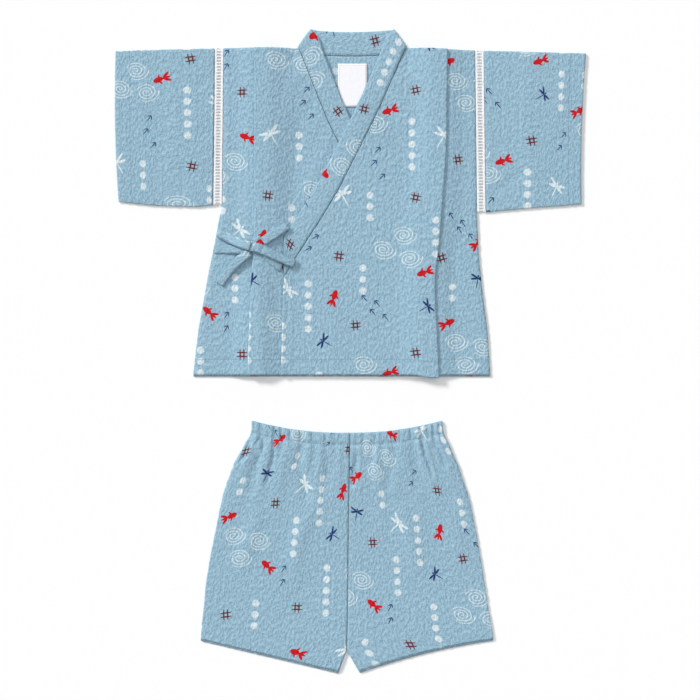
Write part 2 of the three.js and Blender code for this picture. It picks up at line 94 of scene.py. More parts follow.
sleeves = {
    "sleeve_right": table(sleeveNames, [
        (-257.4, 327.8, -254.1, 161.7, -2.2), (-232.0, 328.5, -230.0, 159.2, -1.0),
        (-206.0, 329.3, -206.8, 157.3, 0),
        (-175.0, 330.0, -172.0, 156.3, 0), (-148.6, 330.6, -150.9, 157.8, 0)]),
    "sleeve_left": table(sleeveNames, [
        (147.2, 328.0, 149.8, 150.3, 0), (178.3, 327.3, 178.3, 152.8, 0), (209.3, 326.5, 209.3, 155.5, 0),
        (232.3, 325.9, 231.8, 157.0, -1.2), (259.3, 325.1, 254.4, 159.0, -2.2)]),
}
legNames = "inX inY outX outY sag puff"
legs = {
    "leg_right": table(legNames, [
        (-0.3, -92.0, -108.2, -78.8, 4.0, 1.6), (-0.3, -104.5, -108.8, -91.0, 4.0, 2.2),
        (-0.6, -116.0, -115.5, -103.4, 3.5, 3.0), (-1.0, -138.0, -127.6, -125.4, 2.5, 2.6),
        (-1.6, -170.0, -139.3, -158.4, 1.5, 1.2), (-2.2, -214.0, -148.8, -203.5, 1.0, 0.3),
        (-2.6, -262.0, -157.3, -250.0, 0.5, 0), (-3.2, -300.0, -160.6, -280.0, 0, 0),
        (-3.9, -332.0, -163.0, -303.0, 0, 0), (-12.9, -354.2, -164.3, -318.5, 0, 0)]),
    "leg_left": table(legNames, [
        (0.3, -92.0, 101.6, -78.8, 3.6, 1.6), (0.3, -104.5, 103.2, -91.9, 3.6, 2.2),
        (0.0, -116.0, 109.0, -103.8, 3.0, 3.0), (-0.4, -138.0, 119.5, -129.0, 2.5, 2.6),
        (-1.0, -170.0, 131.5, -166.0, 1.5, 1.2), (-1.6, -214.0, 139.5, -206.0, 1.0, 0.3),
        (-2.0, -262.0, 147.0, -252.0, 0, 0), (-2.6, -300.0, 151.8, -284.0, -1.5, 0),
        (-3.3, -332.0, 155.8, -304.5, -3.0, 0), (11.0, -353.8, 157.4, -318.2, -3.8, 0)]),
}
gathers = np.array([0, 0.35, 0.1, 0.8, 0.15, 0.6, 0.05, 0.9, 0.2, 1, 0.1, 0.8, 0])

# Creases: where each runs, how wide and how high it is (troughs are negative), by the panel that shows them
creases = {
    "leg_right": [
        ([(-105.6, -78), (-105.6, -91), (-110, -97)], 1.6, -1.2),
        ([(-99.6, -79), (-99.6, -97), (-103.4, -103.4)], 1.6, -1.3),
        ([(-95.7, -81), (-95.7, -110)], 1.8, -1.5),
        ([(-82.5, -83), (-83.6, -111), (-85.8, -124), (-88.6, -133), (-91.3, -147)], 2.0, -1.6),
        ([(-101.2, -122), (-105.6, -139), (-107.8, -155)], 4.5, -1.2),
        ([(-110, -97), (-115.5, -117), (-121, -124)], 2.2, -1.4),
        ([(-76, -86), (-76, -101)], 1.5, -0.8), ([(-66, -87), (-66, -100)], 1.5, -0.8),
        ([(-55, -88), (-54, -101)], 1.6, -0.6), ([(-41, -89), (-42, -103)], 1.5, -0.5),
        ([(-27, -91), (-26, -104)], 1.8, -0.5), ([(-12, -92), (-12, -106)], 1.5, -0.5),
        ([(-51.7, -106), (-56, -125), (-51.7, -142), (-48.4, -161)], 5.0, -1.0),
        ([(-26, -108), (-24, -132), (-28, -158)], 5.0, -0.7),
        ([(-40, -170), (-58, -215), (-62, -250)], 9.0, 0.8), ([(-100, -180), (-118, -235)], 9.0, 0.7),
        ([(-20, -235), (-70, -300)], 8.0, -0.5)],
    "leg_left": [
        ([(28.6, -87), (28.6, -101)], 1.5, -0.8), ([(41.8, -86), (41.8, -101)], 1.5, -0.9),
        ([(55, -85), (55, -100)], 1.6, -0.8), ([(14, -89), (14, -105)], 1.6, -0.5),
        ([(66, -84), (67, -99)], 1.6, -0.8),
        ([(77, -83), (79.2, -95), (80.3, -108), (82.5, -117), (85.8, -124), (90.2, -139)], 2.0, -1.6),
        ([(91.3, -82), (92.4, -100), (94.6, -108), (100.1, -114), (104.5, -128)], 2.0, -1.6),
        ([(85, -82), (86, -98)], 1.5, -1.0), ([(98, -80), (98.5, -96)], 1.5, -0.9),
        ([(7.7, -118), (5.5, -133), (2.2, -150)], 3.0, -1.2),
        ([(45, -104), (47, -125), (42, -150)], 5.0, -0.8), ([(66, -102), (70, -125), (74, -150)], 5.0, -0.9),
        ([(25, -106), (22, -130)], 4.0, -0.7), ([(60, -180), (72, -240)], 9.0, 0.8),
        ([(112, -180), (122, -230)], 8.0, 0.6), ([(20, -240), (60, -300)], 9.0, -0.5)],
    "front_right": [
        ([(-58, 329), (-66, 318)], 1.8, -0.7), ([(-50, 318), (-62, 290), (-70, 250)], 7.0, 0.8),
        ([(-30, 290), (-52, 250), (-60, 210)], 6.0, -0.6), ([(-20, 240), (-40, 190), (-62, 150)], 7.0, 0.7),
        ([(-104, 100), (-101, 60), (-99, 0), (-98, -28)], 6.0, 0.9),
        ([(-92, 98), (-84, 70), (-82, 40)], 5.0, -0.9),
        ([(-120, 130), (-136, 118)], 4.0, -0.8), ([(-112, 150), (-132, 142)], 6.0, 0.6),
        ([(-130, 70), (-140, 20)], 8.0, 0.6), ([(-90, 170), (-88, 130)], 5.0, -0.5)],
    "front_left": [
        ([(63.3, 329), (63.3, 307)], 1.6, -0.9), ([(66, 291), (75, 263), (77, 240)], 4.0, -0.7),
        ([(50, 290), (60, 250), (62, 200)], 7.0, 0.7), ([(20, 190), (50, 150), (80, 110)], 9.0, 0.6),
        ([(88, 200), (84, 150), (76, 90)], 7.0, -0.6), ([(-40, 90), (-20, 40), (-15, -20)], 9.0, 0.5),
        ([(30, 60), (38, 10)], 9.0, -0.5), ([(104, 150), (112, 100), (118, 40)], 5.0, -0.8),
        ([(-66, 80), (-64, 40), (-66, -20)], 4.0, 0.5), ([(120, 280), (118, 240)], 6.0, -0.5)],
    "back": [([(15, 348), (16, 326)], 2.0, -0.5), ([(-60, 300), (-40, 200), (-60, 60)], 9.0, 0.4)],
    "sleeve_right": [
        ([(-152, 300), (-166, 290)], 5.0, -0.6), ([(-152, 240), (-172, 228)], 6.0, -0.5),
        ([(-200, 320), (-190, 250), (-200, 180)], 9.0, 0.5), ([(-235, 310), (-225, 240)], 8.0, 0.5),
        ([(-155, 175), (-185, 200)], 6.0, -0.7)],
    "sleeve_left": [
        ([(152, 300), (168, 288)], 5.0, -0.6), ([(152, 230), (175, 220)], 6.0, -0.5),
        ([(196, 318), (192, 250), (204, 180)], 9.0, 0.5), ([(238, 310), (226, 240)], 8.0, 0.5),
        ([(155, 168), (190, 195)], 6.0, -0.7)],
    "collar": [([(15.4, 349), (16, 332)], 1.8, -0.4), ([(-38, 349), (-30, 330)], 2.5, -0.3)],
}


def rise(t):
    t = np.clip(t, 0, 1)
    return t * t * (3 - 2 * t)


def curveAt(x, xs, ys):
    # smooth curve through the points of a table column
    slopes = np.gradient(ys, xs)
    i = np.clip(np.searchsorted(xs, x) - 1, 0, len(xs) - 2)
    h = xs[i + 1] - xs[i]
    t = np.clip((x - xs[i]) / h, 0, 1)
    return ((1 + 2 * t) * (1 - t) ** 2 * ys[i] + t * (1 - t) ** 2 * h * slopes[i]
            + t * t * (3 - 2 * t) * ys[i + 1] + t * t * (t - 1) * h * slopes[i + 1])


def at(rows, y, name):
    return curveAt(np.asarray(y, float), rows["y"], rows[name])


def backSideZ(s, fold):
    return 2 * layer * (1 - rise((s - fold - 2) / tuckFade))


def mound(s, fold):
    return 1 - rise((fold - tuckDepth - 1 - s) / moundFade)


labelLift = {"y": 215, "fadeY": 40, "x": -95, "fadeX": 30}  # where the fronts start to lie on the label
neckLine = {"slopeX": 0.881, "slopeY": 0.473, "y": 254, "clear": 12, "fade": 30}  # the over front's neck edge


def neckLift(x, y):
    rising = rise((y - labelLift["y"]) / labelLift["fadeY"])
    return (labelWall + gap) * rising * rise((x - labelLift["x"]) / labelLift["fadeX"])


def underZ(x, y, lift):
    base = layer + lift
    return base + (tuckTop - base) * mound(-x, at(body, y, "rightFold"))


def overZ(x, y, lift):
    beyond = x * neckLine["slopeX"] + (y - neckLine["y"]) * neckLine["slopeY"]
    onBand = 1 - rise((beyond - neckLine["clear"]) / neckLine["fade"])
    base = underZ(x, y, lift) + (bandWall + gap) * onBand
    return base + (tuckTop - base) * mound(x, at(body, y, "leftFold"))


creaseEnds = {"least": 0.25, "from": 0.12}  # how far a crease fades at its ends


def creaseHeight(name, x, y):
    # soft troughs and ridges that fade towards both ends
    total = np.zeros(np.shape(x))
    for path, width, height in creases.get(name, []):
        points = np.array(path, float)
        lengths = np.hypot(*np.diff(points, axis=0).T)
        ends = np.concatenate([[0], np.cumsum(lengths)])
        nearest, along = np.full(np.shape(x), 1e9), np.zeros(np.shape(x))
        for a, b, start, length in zip(points[:-1], points[1:], ends, lengths):
            stepX, stepY = b - a
            t = np.clip(((x - a[0]) * stepX + (y - a[1]) * stepY) / length ** 2, 0, 1)
            away = np.hypot(x - a[0] - t * stepX, y - a[1] - t * stepY)
            closer = away < nearest
            nearest, along = np.where(closer, away, nearest), np.where(closer, start + t * length, along)
        share = creaseEnds["from"] + (1 - 2 * creaseEnds["from"]) * along / ends[-1]
        fade = creaseEnds["least"] + (1 - creaseEnds["least"]) * np.sin(math.pi * share)
        total += height * np.exp(-(nearest / width) ** 2) * fade
    return total


crinkleWaves = {"count": 14, "shortest": 5, "spread": 5, "lean": 0.7, "seed": 7}


def crinkleHeight(u, v):
    # puckers of the cotton, a fixed sum of slanting waves, in millimetres
    random = np.random.default_rng(crinkleWaves["seed"])
    total = np.zeros(np.shape(u))
    for wave in range(crinkleWaves["count"]):
        length = crinkleWaves["shortest"] + crinkleWaves["spread"] * random.random()
        angle = math.pi * random.random()
        phase = 2 * math.pi * random.random()
        slant = u * math.cos(angle) + v * math.sin(angle) * crinkleWaves["lean"]
        total += np.sin(2 * math.pi * slant / length + phase)
    return total / crinkleWaves["count"] ** 0.5


# The print's repeat, charted for each kind: place, turn in degrees, and how many in a run
repeat = 288
printChart = {
    "ripples": [(52, 62, 0, 1), (196, 96, 178, 1), (92, 205, -12, 1), (238, 236, 170, 1)],
    "fish": [(84, 70, 200, 1), (172, 124, 25, 1), (226, 70, 140, 1), (122, 180, 200, 1), (206, 212, 35, 1),
             (268, 262, 160, 1), (22, 152, 70, 1)],
    "whiteDragonfly": [(142, 40, 60, 1), (32, 264, 120, 1), (156, 262, -35, 1), (258, 160, 40, 1)],
    "navyDragonfly": [(12, 104, 150, 1), (124, 142, 30, 1), (206, 172, 80, 1)],
    "igeta": [(112, 92, 10, 1), (262, 24, 0, 1), (46, 122, 5, 1), (166, 196, 15, 1), (28, 198, -8, 1),
              (184, 16, 8, 1), (112, 262, -12, 1), (226, 140, 4, 1)],
    "track": [(148, 84, 40, 2), (70, 146, 130, 4), (244, 52, 60, 2), (190, 234, 120, 4), (66, 12, 45, 3),
              (282, 206, 30, 2)],
    "dots": [(6, 18, 0, 5), (108, 8, 0, 5), (150, 128, 0, 4), (254, 84, 0, 4), (54, 160, 0, 3),
             (134, 200, 0, 4),
             (282, 118, 0, 5), (216, 4, 0, 3), (62, 240, 0, 3), (178, 152, 0, 2), (240, 182, 0, 2)],
}
kinds = {"ripples": 1, "dots": 2, "fish": 3, "whiteDragonfly": 4, "navyDragonfly": 5, "igeta": 6, "track": 7}
reach = {"ripples": 17.5, "dots": 5.2, "fish": 12, "whiteDragonfly": 14.5, "navyDragonfly": 11.5, "igeta": 8,
         "track": 6.5}
navyShare = 0.72  # size of a navy dragonfly to a white one
rippleTrio = [(-15.5, -3), (15, -7), (3, 17)]
rippleTurn = 0.15 / 16
runs = {"dotStep": 12.4, "pairStep": 15, "pairTurn": 0.5, "nextX": 9, "nextY": -15}
repeatMargin = 30
repeatShifts = [(x, y) for x in (-repeat, 0, repeat) for y in (-repeat, 0, repeat)]


def motifRun(kind, x, y, angle, count):
    # places and turns of the motifs in one charted run
    if kind == "ripples":
        c, s = math.cos(angle), math.sin(angle)
        return [(x + a * c - b * s, y + a * s + b * c, rippleTurn * a) for a, b in rippleTrio]
    if kind == "dots":
        return [(x, y + runs["dotStep"] * k, 0) for k in range(count)]
    stepX = runs["pairStep"] * math.cos(angle + runs["pairTurn"])
    stepY = runs["pairStep"] * math.sin(angle + runs["pairTurn"])
    return [(x + stepX * (k % 2) + runs["nextX"] * (k // 2), y + stepY * (k % 2) + runs["nextY"] * (k // 2),
             angle)
            for k in range(count)]


def motifList(wanted):
    found = []
    for kind in wanted:
        for x, y, turned, count in printChart[kind]:
            for spotX, spotY, angle in motifRun(kind, x, y, math.radians(turned), count):
                for shiftX, shiftY in repeatShifts:
                    place = (spotX % repeat + shiftX, spotY % repeat + shiftY)
                    if all(-repeatMargin < value < repeat + repeatMargin for value in place):
                        found.append((*place, angle, reach[kind], kinds[kind]))
    return np.array(found)


motifLayers = {
    "rippleSpot": motifList(["ripples"]),
    "motifSpot": motifList([kind for kind in printChart if kind != "ripples"]),
}


def motifPlaces(uv, faces, motifs):
    # each face corner gets its place on the motif that its face belongs to, and the motif's kind
    corners = uv[faces]
    centres = corners.mean(1)
    base = np.floor(centres / repeat) * repeat
    local = centres - base
    best, ratio = np.zeros(len(faces), int), np.full(len(faces), 9e9)
    for i, (x, y, angle, size, kind) in enumerate(motifs):
        far = np.hypot(local[:, 0] - x, local[:, 1] - y) / size
        closer = far < ratio
        best[closer], ratio[closer] = i, far[closer]
    chosen = motifs[best]
    offset = corners - (base + chosen[:, :2])[:, None, :]
    c, s = np.cos(chosen[:, 2])[:, None], np.sin(chosen[:, 2])[:, None]
    scale = np.where(chosen[:, 4] == kinds["navyDragonfly"], 1 / navyShare, 1)[:, None]
    out = np.zeros((len(faces), 4, 3))
    out[..., 0] = (offset[..., 0] * c + offset[..., 1] * s) * scale
    out[..., 1] = (offset[..., 1] * c - offset[..., 0] * s) * scale
    out[..., 2] = np.where(ratio < 1.15, chosen[:, 4], 0)[:, None]
    return out


def shellFaces(rows, columns, uvColumns, ring):
    # faces of a closed shell over a grid: one side, the other side, and the edges between them
    steps = columns if ring else columns - 1
    r, c = (part.ravel() for part in np.meshgrid(np.arange(rows - 1), np.arange(steps), indexing="ij"))
    count = rows * columns

    def spot(row, column):
        return row * columns + column % columns

    quad = np.stack([spot(r, c), spot(r, c + 1), spot(r + 1, c + 1), spot(r + 1, c)], 1)
    first = r * uvColumns + c
    quadUv = np.stack([first, first + 1, first + uvColumns + 1, first + uvColumns], 1)
    faces, faceUv = [quad, (quad + count)[:, ::-1]], [quadUv, quadUv[:, ::-1]]
    wrong = [np.zeros(len(quad)), np.ones(len(quad))]
    across, down = np.arange(steps), np.arange(rows - 1)
    edges = [(0, across, 0, across + 1, True), (rows - 1, across, rows - 1, across + 1, False)]
    if not ring:
        edges.append((down, 0, down + 1, 0, False))
        edges.append((down, columns - 1, down + 1, columns - 1, True))
    for rowA, columnA, rowB, columnB, flip in edges:
        a, b = spot(rowA, columnA), spot(rowB, columnB)
        uvA, uvB = rowA * uvColumns + columnA, rowB * uvColumns + columnB
        edge = np.stack([a, b, b + count, a + count], 1)
        edgeUv = np.stack([uvA, uvB, uvB, uvA], 1)
        faces.append(edge[:, ::-1] if flip else edge)
        faceUv.append(edgeUv[:, ::-1] if flip else edgeUv)
        wrong.append(np.zeros(len(edge)))
    return np.concatenate(faces), np.concatenate(faceUv), np.concatenate(wrong), quadUv


def addSpots(mesh, name, spots):
    data = mesh.attributes.new(name, "FLOAT_VECTOR", "CORNER")
    data.data.foreach_set("vector", spots.astype(np.float32).ravel())


def enterPiece(piece, name):
    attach(piece, "root")
    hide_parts(name)


leastSide = 0.01  # a sheet's side is never stated as less, in metres
leastFill = 0.3


def makePanel(name, points, uv, ring=False, wall=shownWall, crinkle=0.22,
              rightSideUp=True,
              printed=True, shift=(0, 0), seams=None, held="laid", material=None):
    # a thin closed shell of cloth on both sides of a grid of points
    rows, columns = points.shape[:2]
    if ring:
        points = np.concatenate([points, points[:, :1]], 1)
    alongRow = np.gradient(points, axis=1)
    if ring:
        alongRow[:, 0] = alongRow[:, -1] = (points[:, 1] - points[:, -2]) / 2
    normals = np.cross(alongRow, np.gradient(points, axis=0))
    normals /= np.maximum(np.linalg.norm(normals, axis=2, keepdims=True), 1e-9)
    if crinkle:
        ripple = crinkleHeight(uv[..., 0], uv[..., 1]) * crinkle
        if ring:
            fromEnd = np.minimum(np.arange(columns + 1), columns - np.arange(columns + 1))
            ripple = ripple * np.clip(fromEnd / 3, 0, 1)
        points = points + normals * ripple[..., None]
    upper = points + normals * wall / 2
    lower = points - normals * wall / 2
    if ring:
        upper, lower = upper[:, :-1], lower[:, :-1]
    vertices = np.concatenate([upper.reshape(-1, 3), lower.reshape(-1, 3)])
    vertices[:, :2] -= middle
    faces, faceUv, wrong, quadUv = shellFaces(rows, columns, uv.shape[1], ring)
    a, b, c, d = (vertices[faces[:, k]] for k in range(4))
    if (a * np.cross(b, c)).sum() + (a * np.cross(c, d)).sum() < 0:
        faces, faceUv = faces[:, ::-1], faceUv[:, ::-1]
    mesh = bpy.data.meshes.new(name)
    mesh.from_pydata((vertices * mm).tolist(), [], faces.tolist())
    flat = uv.reshape(-1, 2)
    layerUv = mesh.uv_layers.new(name="cloth")
    layerUv.data.foreach_set("uv", (flat[faceUv] * mm).astype(np.float32).ravel())
    if ring:
        outward = (points[rows // 2, 1] - points.mean((0, 1))) * normals[rows // 2, 1]
        rightSideFirst = outward[2] > 0
    else:
        rightSideFirst = (normals[rows // 2, columns // 4, 2] > 0) == rightSideUp
    faded = wrong if rightSideFirst else 1 - wrong
    if held == "folded":
        faded = faded * 0
    fadedSide = mesh.attributes.new("wrongSide", "FLOAT", "FACE")
    fadedSide.data.foreach_set("value", faded.astype(np.float32))
    if printed:
        for attribute, motifs in motifLayers.items():
            addSpots(mesh, attribute, motifPlaces(flat + np.array(shift), faceUv, motifs))
    if seams is not None:
        spots = np.ones((len(faceUv), 4, 3))
        spots[..., :2] = seams.reshape(-1, 2)[faceUv]
        addSpots(mesh, "seamSpot", spots)
    mesh.polygons.foreach_set("use_smooth", np.ones(len(faces), bool))
    mesh.materials.append(material or clothMaterial)
    mesh.update()
    piece = bpy.data.objects.new(name + "_cloth", mesh)
    bpy.context.scene.collection.objects.link(piece)
    enterPiece(piece, name)
    corners = np.stack([flat[quadUv[:, k]] for k in range(4)], 1)
    across, down = corners[:, 2] - corners[:, 0], corners[:, 3] - corners[:, 1]
    area = np.abs(across[:, 0] * down[:, 1] - across[:, 1] * down[:, 0]).sum() / 2 * mm * mm
    size = np.maximum((flat.max(0) - flat.min(0)) * mm, leastSide)
    area = min(max(area, leastFill * size[0] * size[1]), size[0] * size[1])
    print(f"{name}: {len(faces) * 2} triangles, flat {size[0]:.3f} x {size[1]:.3f} m, area {area:.4f}")
    return piece


# Camera and lights
view = {"across": 770 * mm, "lens": 85, "sensor": 36, "centre": (-0.55 * mm, 1.4 * mm)}
cameraData = bpy.data.cameras.new("camera")
cameraData.lens = view["lens"]
cameraData.sensor_width = view["sensor"]
camera = bpy.data.objects.new("camera", cameraData)
camera.location = (*view["centre"], view["across"] * view["lens"] / view["sensor"])
bpy.context.scene.collection.objects.link(camera)
bpy.context.scene.camera = camera


def addLight(name, softness, power, place):
    data = bpy.data.lights.new(name, "SUN")
    data.angle = math.radians(softness)
    data.energy = power
    lamp = bpy.data.objects.new(name, data)
    lamp.location = place
    bpy.context.scene.collection.objects.link(lamp)
    lamp.rotation_mode = "QUATERNION"
    lamp.rotation_quaternion = (lamp.location * -1).to_track_quat("-Z", "Y")


addLight("keyLight", softness=14, power=2.75, place=(-1.15, 1.0, 0.85))
addLight("topLight", softness=60, power=1.0, place=(0.2, 0.3, 1.9))
world = bpy.data.worlds.new("studio")
world.use_nodes = True
worldShader = world.node_tree.nodes["Background"]
worldShader.inputs[0].default_value = (1, 1, 1, 1)
worldShader.inputs[1].default_value = 0.33
bpy.context.scene.world = world
bpy.context.scene.view_settings.view_transform = "Standard"


# Node helpers
def addNode(tree, kind, **settings):
    made = tree.nodes.new(kind)
    for key, value in settings.items():
        setattr(made, key, value)
    return made


def feed(tree, socket, value):
    if isinstance(value, bpy.types.NodeSocket):
        tree.links.new(value, socket)
    else:
        socket.default_value = value


def calc(tree, operation, *values):
    made = addNode(tree, "ShaderNodeMath", operation=operation)
    for socket, value in zip(made.inputs, values):
        feed(tree, socket, value)
    return made.outputs[0]


def smoothStep(tree, value, low, high):
    made = addNode(tree, "ShaderNodeMapRange", interpolation_type="SMOOTHSTEP")
    for socket, given in zip(made.inputs, (value, low, high)):
        feed(tree, socket, given)
    return made.outputs[0]


def mixColor(tree, share, first, second):
    made = addNode(tree, "ShaderNodeMix", data_type="RGBA")
    feed(tree, made.inputs[0], share)
    feed(tree, made.inputs[6], first)
    feed(tree, made.inputs[7], second)
    return made.outputs[2]


def startGroup(name, vectors=(), values=(), outputs=()):
    tree = bpy.data.node_groups.new(name, "ShaderNodeTree")
    for given in vectors:
        tree.interface.new_socket(name=given, in_out="INPUT", socket_type="NodeSocketVector")
    for given in values:
        tree.interface.new_socket(name=given, in_out="INPUT", socket_type="NodeSocketFloat")
    for given in outputs:
        tree.interface.new_socket(name=given, in_out="OUTPUT", socket_type="NodeSocketFloat")
    return tree, addNode(tree, "NodeGroupInput"), addNode(tree, "NodeGroupOutput")


def placeGroup(tree, group, **inputs):
    made = addNode(tree, "ShaderNodeGroup", node_tree=group)
    for name, value in inputs.items():
        feed(tree, made.inputs[name], value)
    return made


# Motifs, each drawn from ellipses: middle x, middle y, half length, half width, turn in degrees
shapes = {
    "fishShape": [(3.6, 0, 5.6, 3.0, 0), (-5.6, 2.6, 4.2, 1.5, -32), (-6.0, 0, 3.6, 1.1, 0),
                  (-5.6, -2.6, 4.2, 1.5, 32), (2.0, 3.4, 2.5, 1.0, 125), (2.0, -3.4, 2.5, 1.0, -125),
                  (-1.6, 0, 2.2, 1.2, 0)],
    "dragonflyShape": [(-4.4, 0, 8.8, 0.75, 0), (5.6, 0, 1.8, 1.4, 0), (5.0, 6.0, 6.4, 1.5, 68),
                       (5.0, -6.0, 6.4, 1.5, -68), (0.8, 5.4, 5.8, 1.6, 104), (0.8, -5.4, 5.8, 1.6, -104)],
    "trackShape": [(0, 0, 4.8, 0.55, 0), (2.6, 1.5, 2.4, 0.6, 142), (2.6, -1.5, 2.4, 0.6, -142)],
}
softEdge = (-0.12, 0.16)


def ellipseGroup(name, ellipses):
    tree, start, end = startGroup(name, ["Spot"], [], ["Ink"])
    field = None
    for x, y, halfLength, halfWidth, turned in ellipses:
        place = addNode(tree, "ShaderNodeMapping", vector_type="TEXTURE")
        tree.links.new(start.outputs["Spot"], place.inputs["Vector"])
        place.inputs["Location"].default_value = (x, y, 0)
        place.inputs["Rotation"].default_value = (0, 0, math.radians(turned))
        place.inputs["Scale"].default_value = (halfLength, halfWidth, 1)
        size = addNode(tree, "ShaderNodeVectorMath", operation="LENGTH")
        tree.links.new(place.outputs[0], size.inputs[0])
        inside = calc(tree, "MULTIPLY", calc(tree, "SUBTRACT", 1, size.outputs["Value"]), halfWidth)
        field = inside if field is None else calc(tree, "MAXIMUM", field, inside)
    tree.links.new(smoothStep(tree, field, *softEdge), end.inputs["Ink"])
    return tree


igetaBars = {"halfWidth": 0.95, "taper": 0.07, "offset": 2.1, "length": 5.9, "edge": (-0.1, 0.3)}
rippleRings = {"squash": 0.74, "pitch": 4.1, "line": (0.2, 0.1), "breaks": 9.3, "radius": 13.6, "ragged": 2.6}
dotEdge = (4.6, 3.1)
whiteStrength = {"dots": 0.86, "ripples": 0.78, "whiteDragonfly": 0.92}


def makePrintGroup():
    # turns a face's motif spot into ink masks: white, red, navy and brown
    tree, start, end = startGroup("printInks", ["RippleSpot", "MotifSpot"], [],
                                  ["White", "Red", "Navy", "Brown"])

    def flatSpot(name):
        parts = addNode(tree, "ShaderNodeSeparateXYZ")
        tree.links.new(start.outputs[name], parts.inputs[0])
        joined = addNode(tree, "ShaderNodeCombineXYZ")
        tree.links.new(parts.outputs[0], joined.inputs[0])
        tree.links.new(parts.outputs[1], joined.inputs[1])
        return parts.outputs, joined.outputs[0]

    (x, y, kind), spot = flatSpot("MotifSpot")
    isKind = {name: calc(tree, "COMPARE", kind, number, 0.4) for name, number in kinds.items()}
    ink = {}
    for name in shapes:
        group = addNode(tree, "ShaderNodeGroup", node_tree=ellipseGroup(name, shapes[name]))
        tree.links.new(spot, group.inputs[0])
        ink[name] = group.outputs[0]
    size = addNode(tree, "ShaderNodeVectorMath", operation="LENGTH")
    tree.links.new(spot, size.inputs[0])
    dots = calc(tree, "MULTIPLY", smoothStep(tree, size.outputs["Value"], *dotEdge), isKind["dots"])
    absX, absY = calc(tree, "ABSOLUTE", x), calc(tree, "ABSOLUTE", y)
    bars = []
    for across, along in ((absX, absY), (absY, absX)):
        thin = calc(tree, "SUBTRACT", igetaBars["halfWidth"],
                    calc(tree, "MULTIPLY", along, igetaBars["taper"]))
        off = calc(tree, "ABSOLUTE", calc(tree, "SUBTRACT", across, igetaBars["offset"]))
        left = calc(tree, "SUBTRACT", igetaBars["length"], along)
        bars.append(calc(tree, "MINIMUM", calc(tree, "SUBTRACT", thin, off), left))
    igeta = smoothStep(tree, calc(tree, "MAXIMUM", *bars), *igetaBars["edge"])
    # an elliptical spiral whose outer turns break off
    (rx, ry, rippleKind), _ = flatSpot("RippleSpot")
    tall = calc(tree, "DIVIDE", ry, rippleRings["squash"])
    squares = calc(tree, "ADD", calc(tree, "MULTIPLY", rx, rx), calc(tree, "MULTIPLY", tall, tall))
    far = calc(tree, "SQRT", squares)
    angle = calc(tree, "DIVIDE", calc(tree, "ARCTAN2", tall, rx), 2 * math.pi)
    turns = calc(tree, "SUBTRACT", calc(tree, "DIVIDE", far, rippleRings["pitch"]), angle)
    offLine = calc(tree, "ABSOLUTE", calc(tree, "SUBTRACT", calc(tree, "FRACT", turns), 0.5))
    line = smoothStep(tree, offLine, *rippleRings["line"])
    wound = calc(tree, "ADD", angle, calc(tree, "FLOOR", turns))
    broken = calc(tree, "SINE", calc(tree, "MULTIPLY", wound, rippleRings["breaks"]))
    edge = calc(tree, "ADD", rippleRings["radius"], calc(tree, "MULTIPLY", broken, rippleRings["ragged"]))
    ripple = calc(tree, "MULTIPLY", line, smoothStep(tree, calc(tree, "SUBTRACT", far, edge), 0.3, -0.3))
    ripple = calc(tree, "MULTIPLY", ripple, calc(tree, "COMPARE", rippleKind, kinds["ripples"], 0.4))
    fly = calc(tree, "MULTIPLY", ink["dragonflyShape"], isKind["whiteDragonfly"])
    white = calc(tree, "MAXIMUM", calc(tree, "MULTIPLY", dots, whiteStrength["dots"]),
                 calc(tree, "MULTIPLY", ripple, whiteStrength["ripples"]))
    white = calc(tree, "MAXIMUM", white, calc(tree, "MULTIPLY", fly, whiteStrength["whiteDragonfly"]))
    tree.links.new(white, end.inputs["White"])
    tree.links.new(calc(tree, "MULTIPLY", ink["fishShape"], isKind["fish"]), end.inputs["Red"])
    navyFly = calc(tree, "MULTIPLY", ink["dragonflyShape"], isKind["navyDragonfly"])
    tracks = calc(tree, "MULTIPLY", ink["trackShape"], isKind["track"])
    tree.links.new(calc(tree, "MAXIMUM", navyFly, tracks), end.inputs["Navy"])
    tree.links.new(calc(tree, "MULTIPLY", igeta, isKind["igeta"]), end.inputs["Brown"])
    return tree


def makePuckerGroup():
    # small puckers and weave of the cotton, as a height over the flat cloth; its Pucker output also sets the
    # painted shade in the troughs
    tree, start, end = startGroup("puckers", ["Cloth"], ["Scale"], ["Height", "Pucker"])
    stretch = addNode(tree, "ShaderNodeMapping")
    tree.links.new(start.outputs["Cloth"], stretch.inputs["Vector"])
    stretch.inputs["Scale"].default_value = (1, 0.62, 1)
    noise = addNode(tree, "ShaderNodeTexNoise")
    noise.inputs["Detail"].default_value = 2.5
    noise.inputs["Roughness"].default_value = 0.55
    tree.links.new(stretch.outputs[0], noise.inputs["Vector"])
    tree.links.new(start.outputs["Scale"], noise.inputs["Scale"])
    pucker = smoothStep(tree, noise.outputs["Fac"], 0.3, 0.7)
    weave = None
    for direction in ("X", "Y"):
        wave = addNode(tree, "ShaderNodeTexWave", bands_direction=direction)
        wave.inputs["Scale"].default_value = 520
        wave.inputs["Distortion"].default_value = 0.6
        tree.links.new(start.outputs["Cloth"], wave.inputs["Vector"])
        weave = wave.outputs["Fac"] if weave is None else calc(tree, "MULTIPLY", weave, wave.outputs["Fac"])
    tree.links.new(calc(tree, "ADD", pucker, calc(tree, "MULTIPLY", weave, 0.06)), end.inputs["Height"])
    tree.links.new(pucker, end.inputs["Pucker"])
    return tree


printGroup = makePrintGroup()
puckerGroup = makePuckerGroup()
inks = {"white": (0.70, 0.79, 0.82, 1), "red": (0.56, 0.004, 0.01, 1), "navy": (0.01, 0.035, 0.15, 1),
        "brown": (0.13, 0.015, 0.012, 1)}
threadShade = (0.16, 0.29, 0.38, 1)
stitches = {"line": (0.55, 0.2), "rate": 2.6, "dash": (-0.5, -0.1), "shown": 0.45, "sunk": 0.8}
puckerScale = 400.0
wrongFade = 0.42


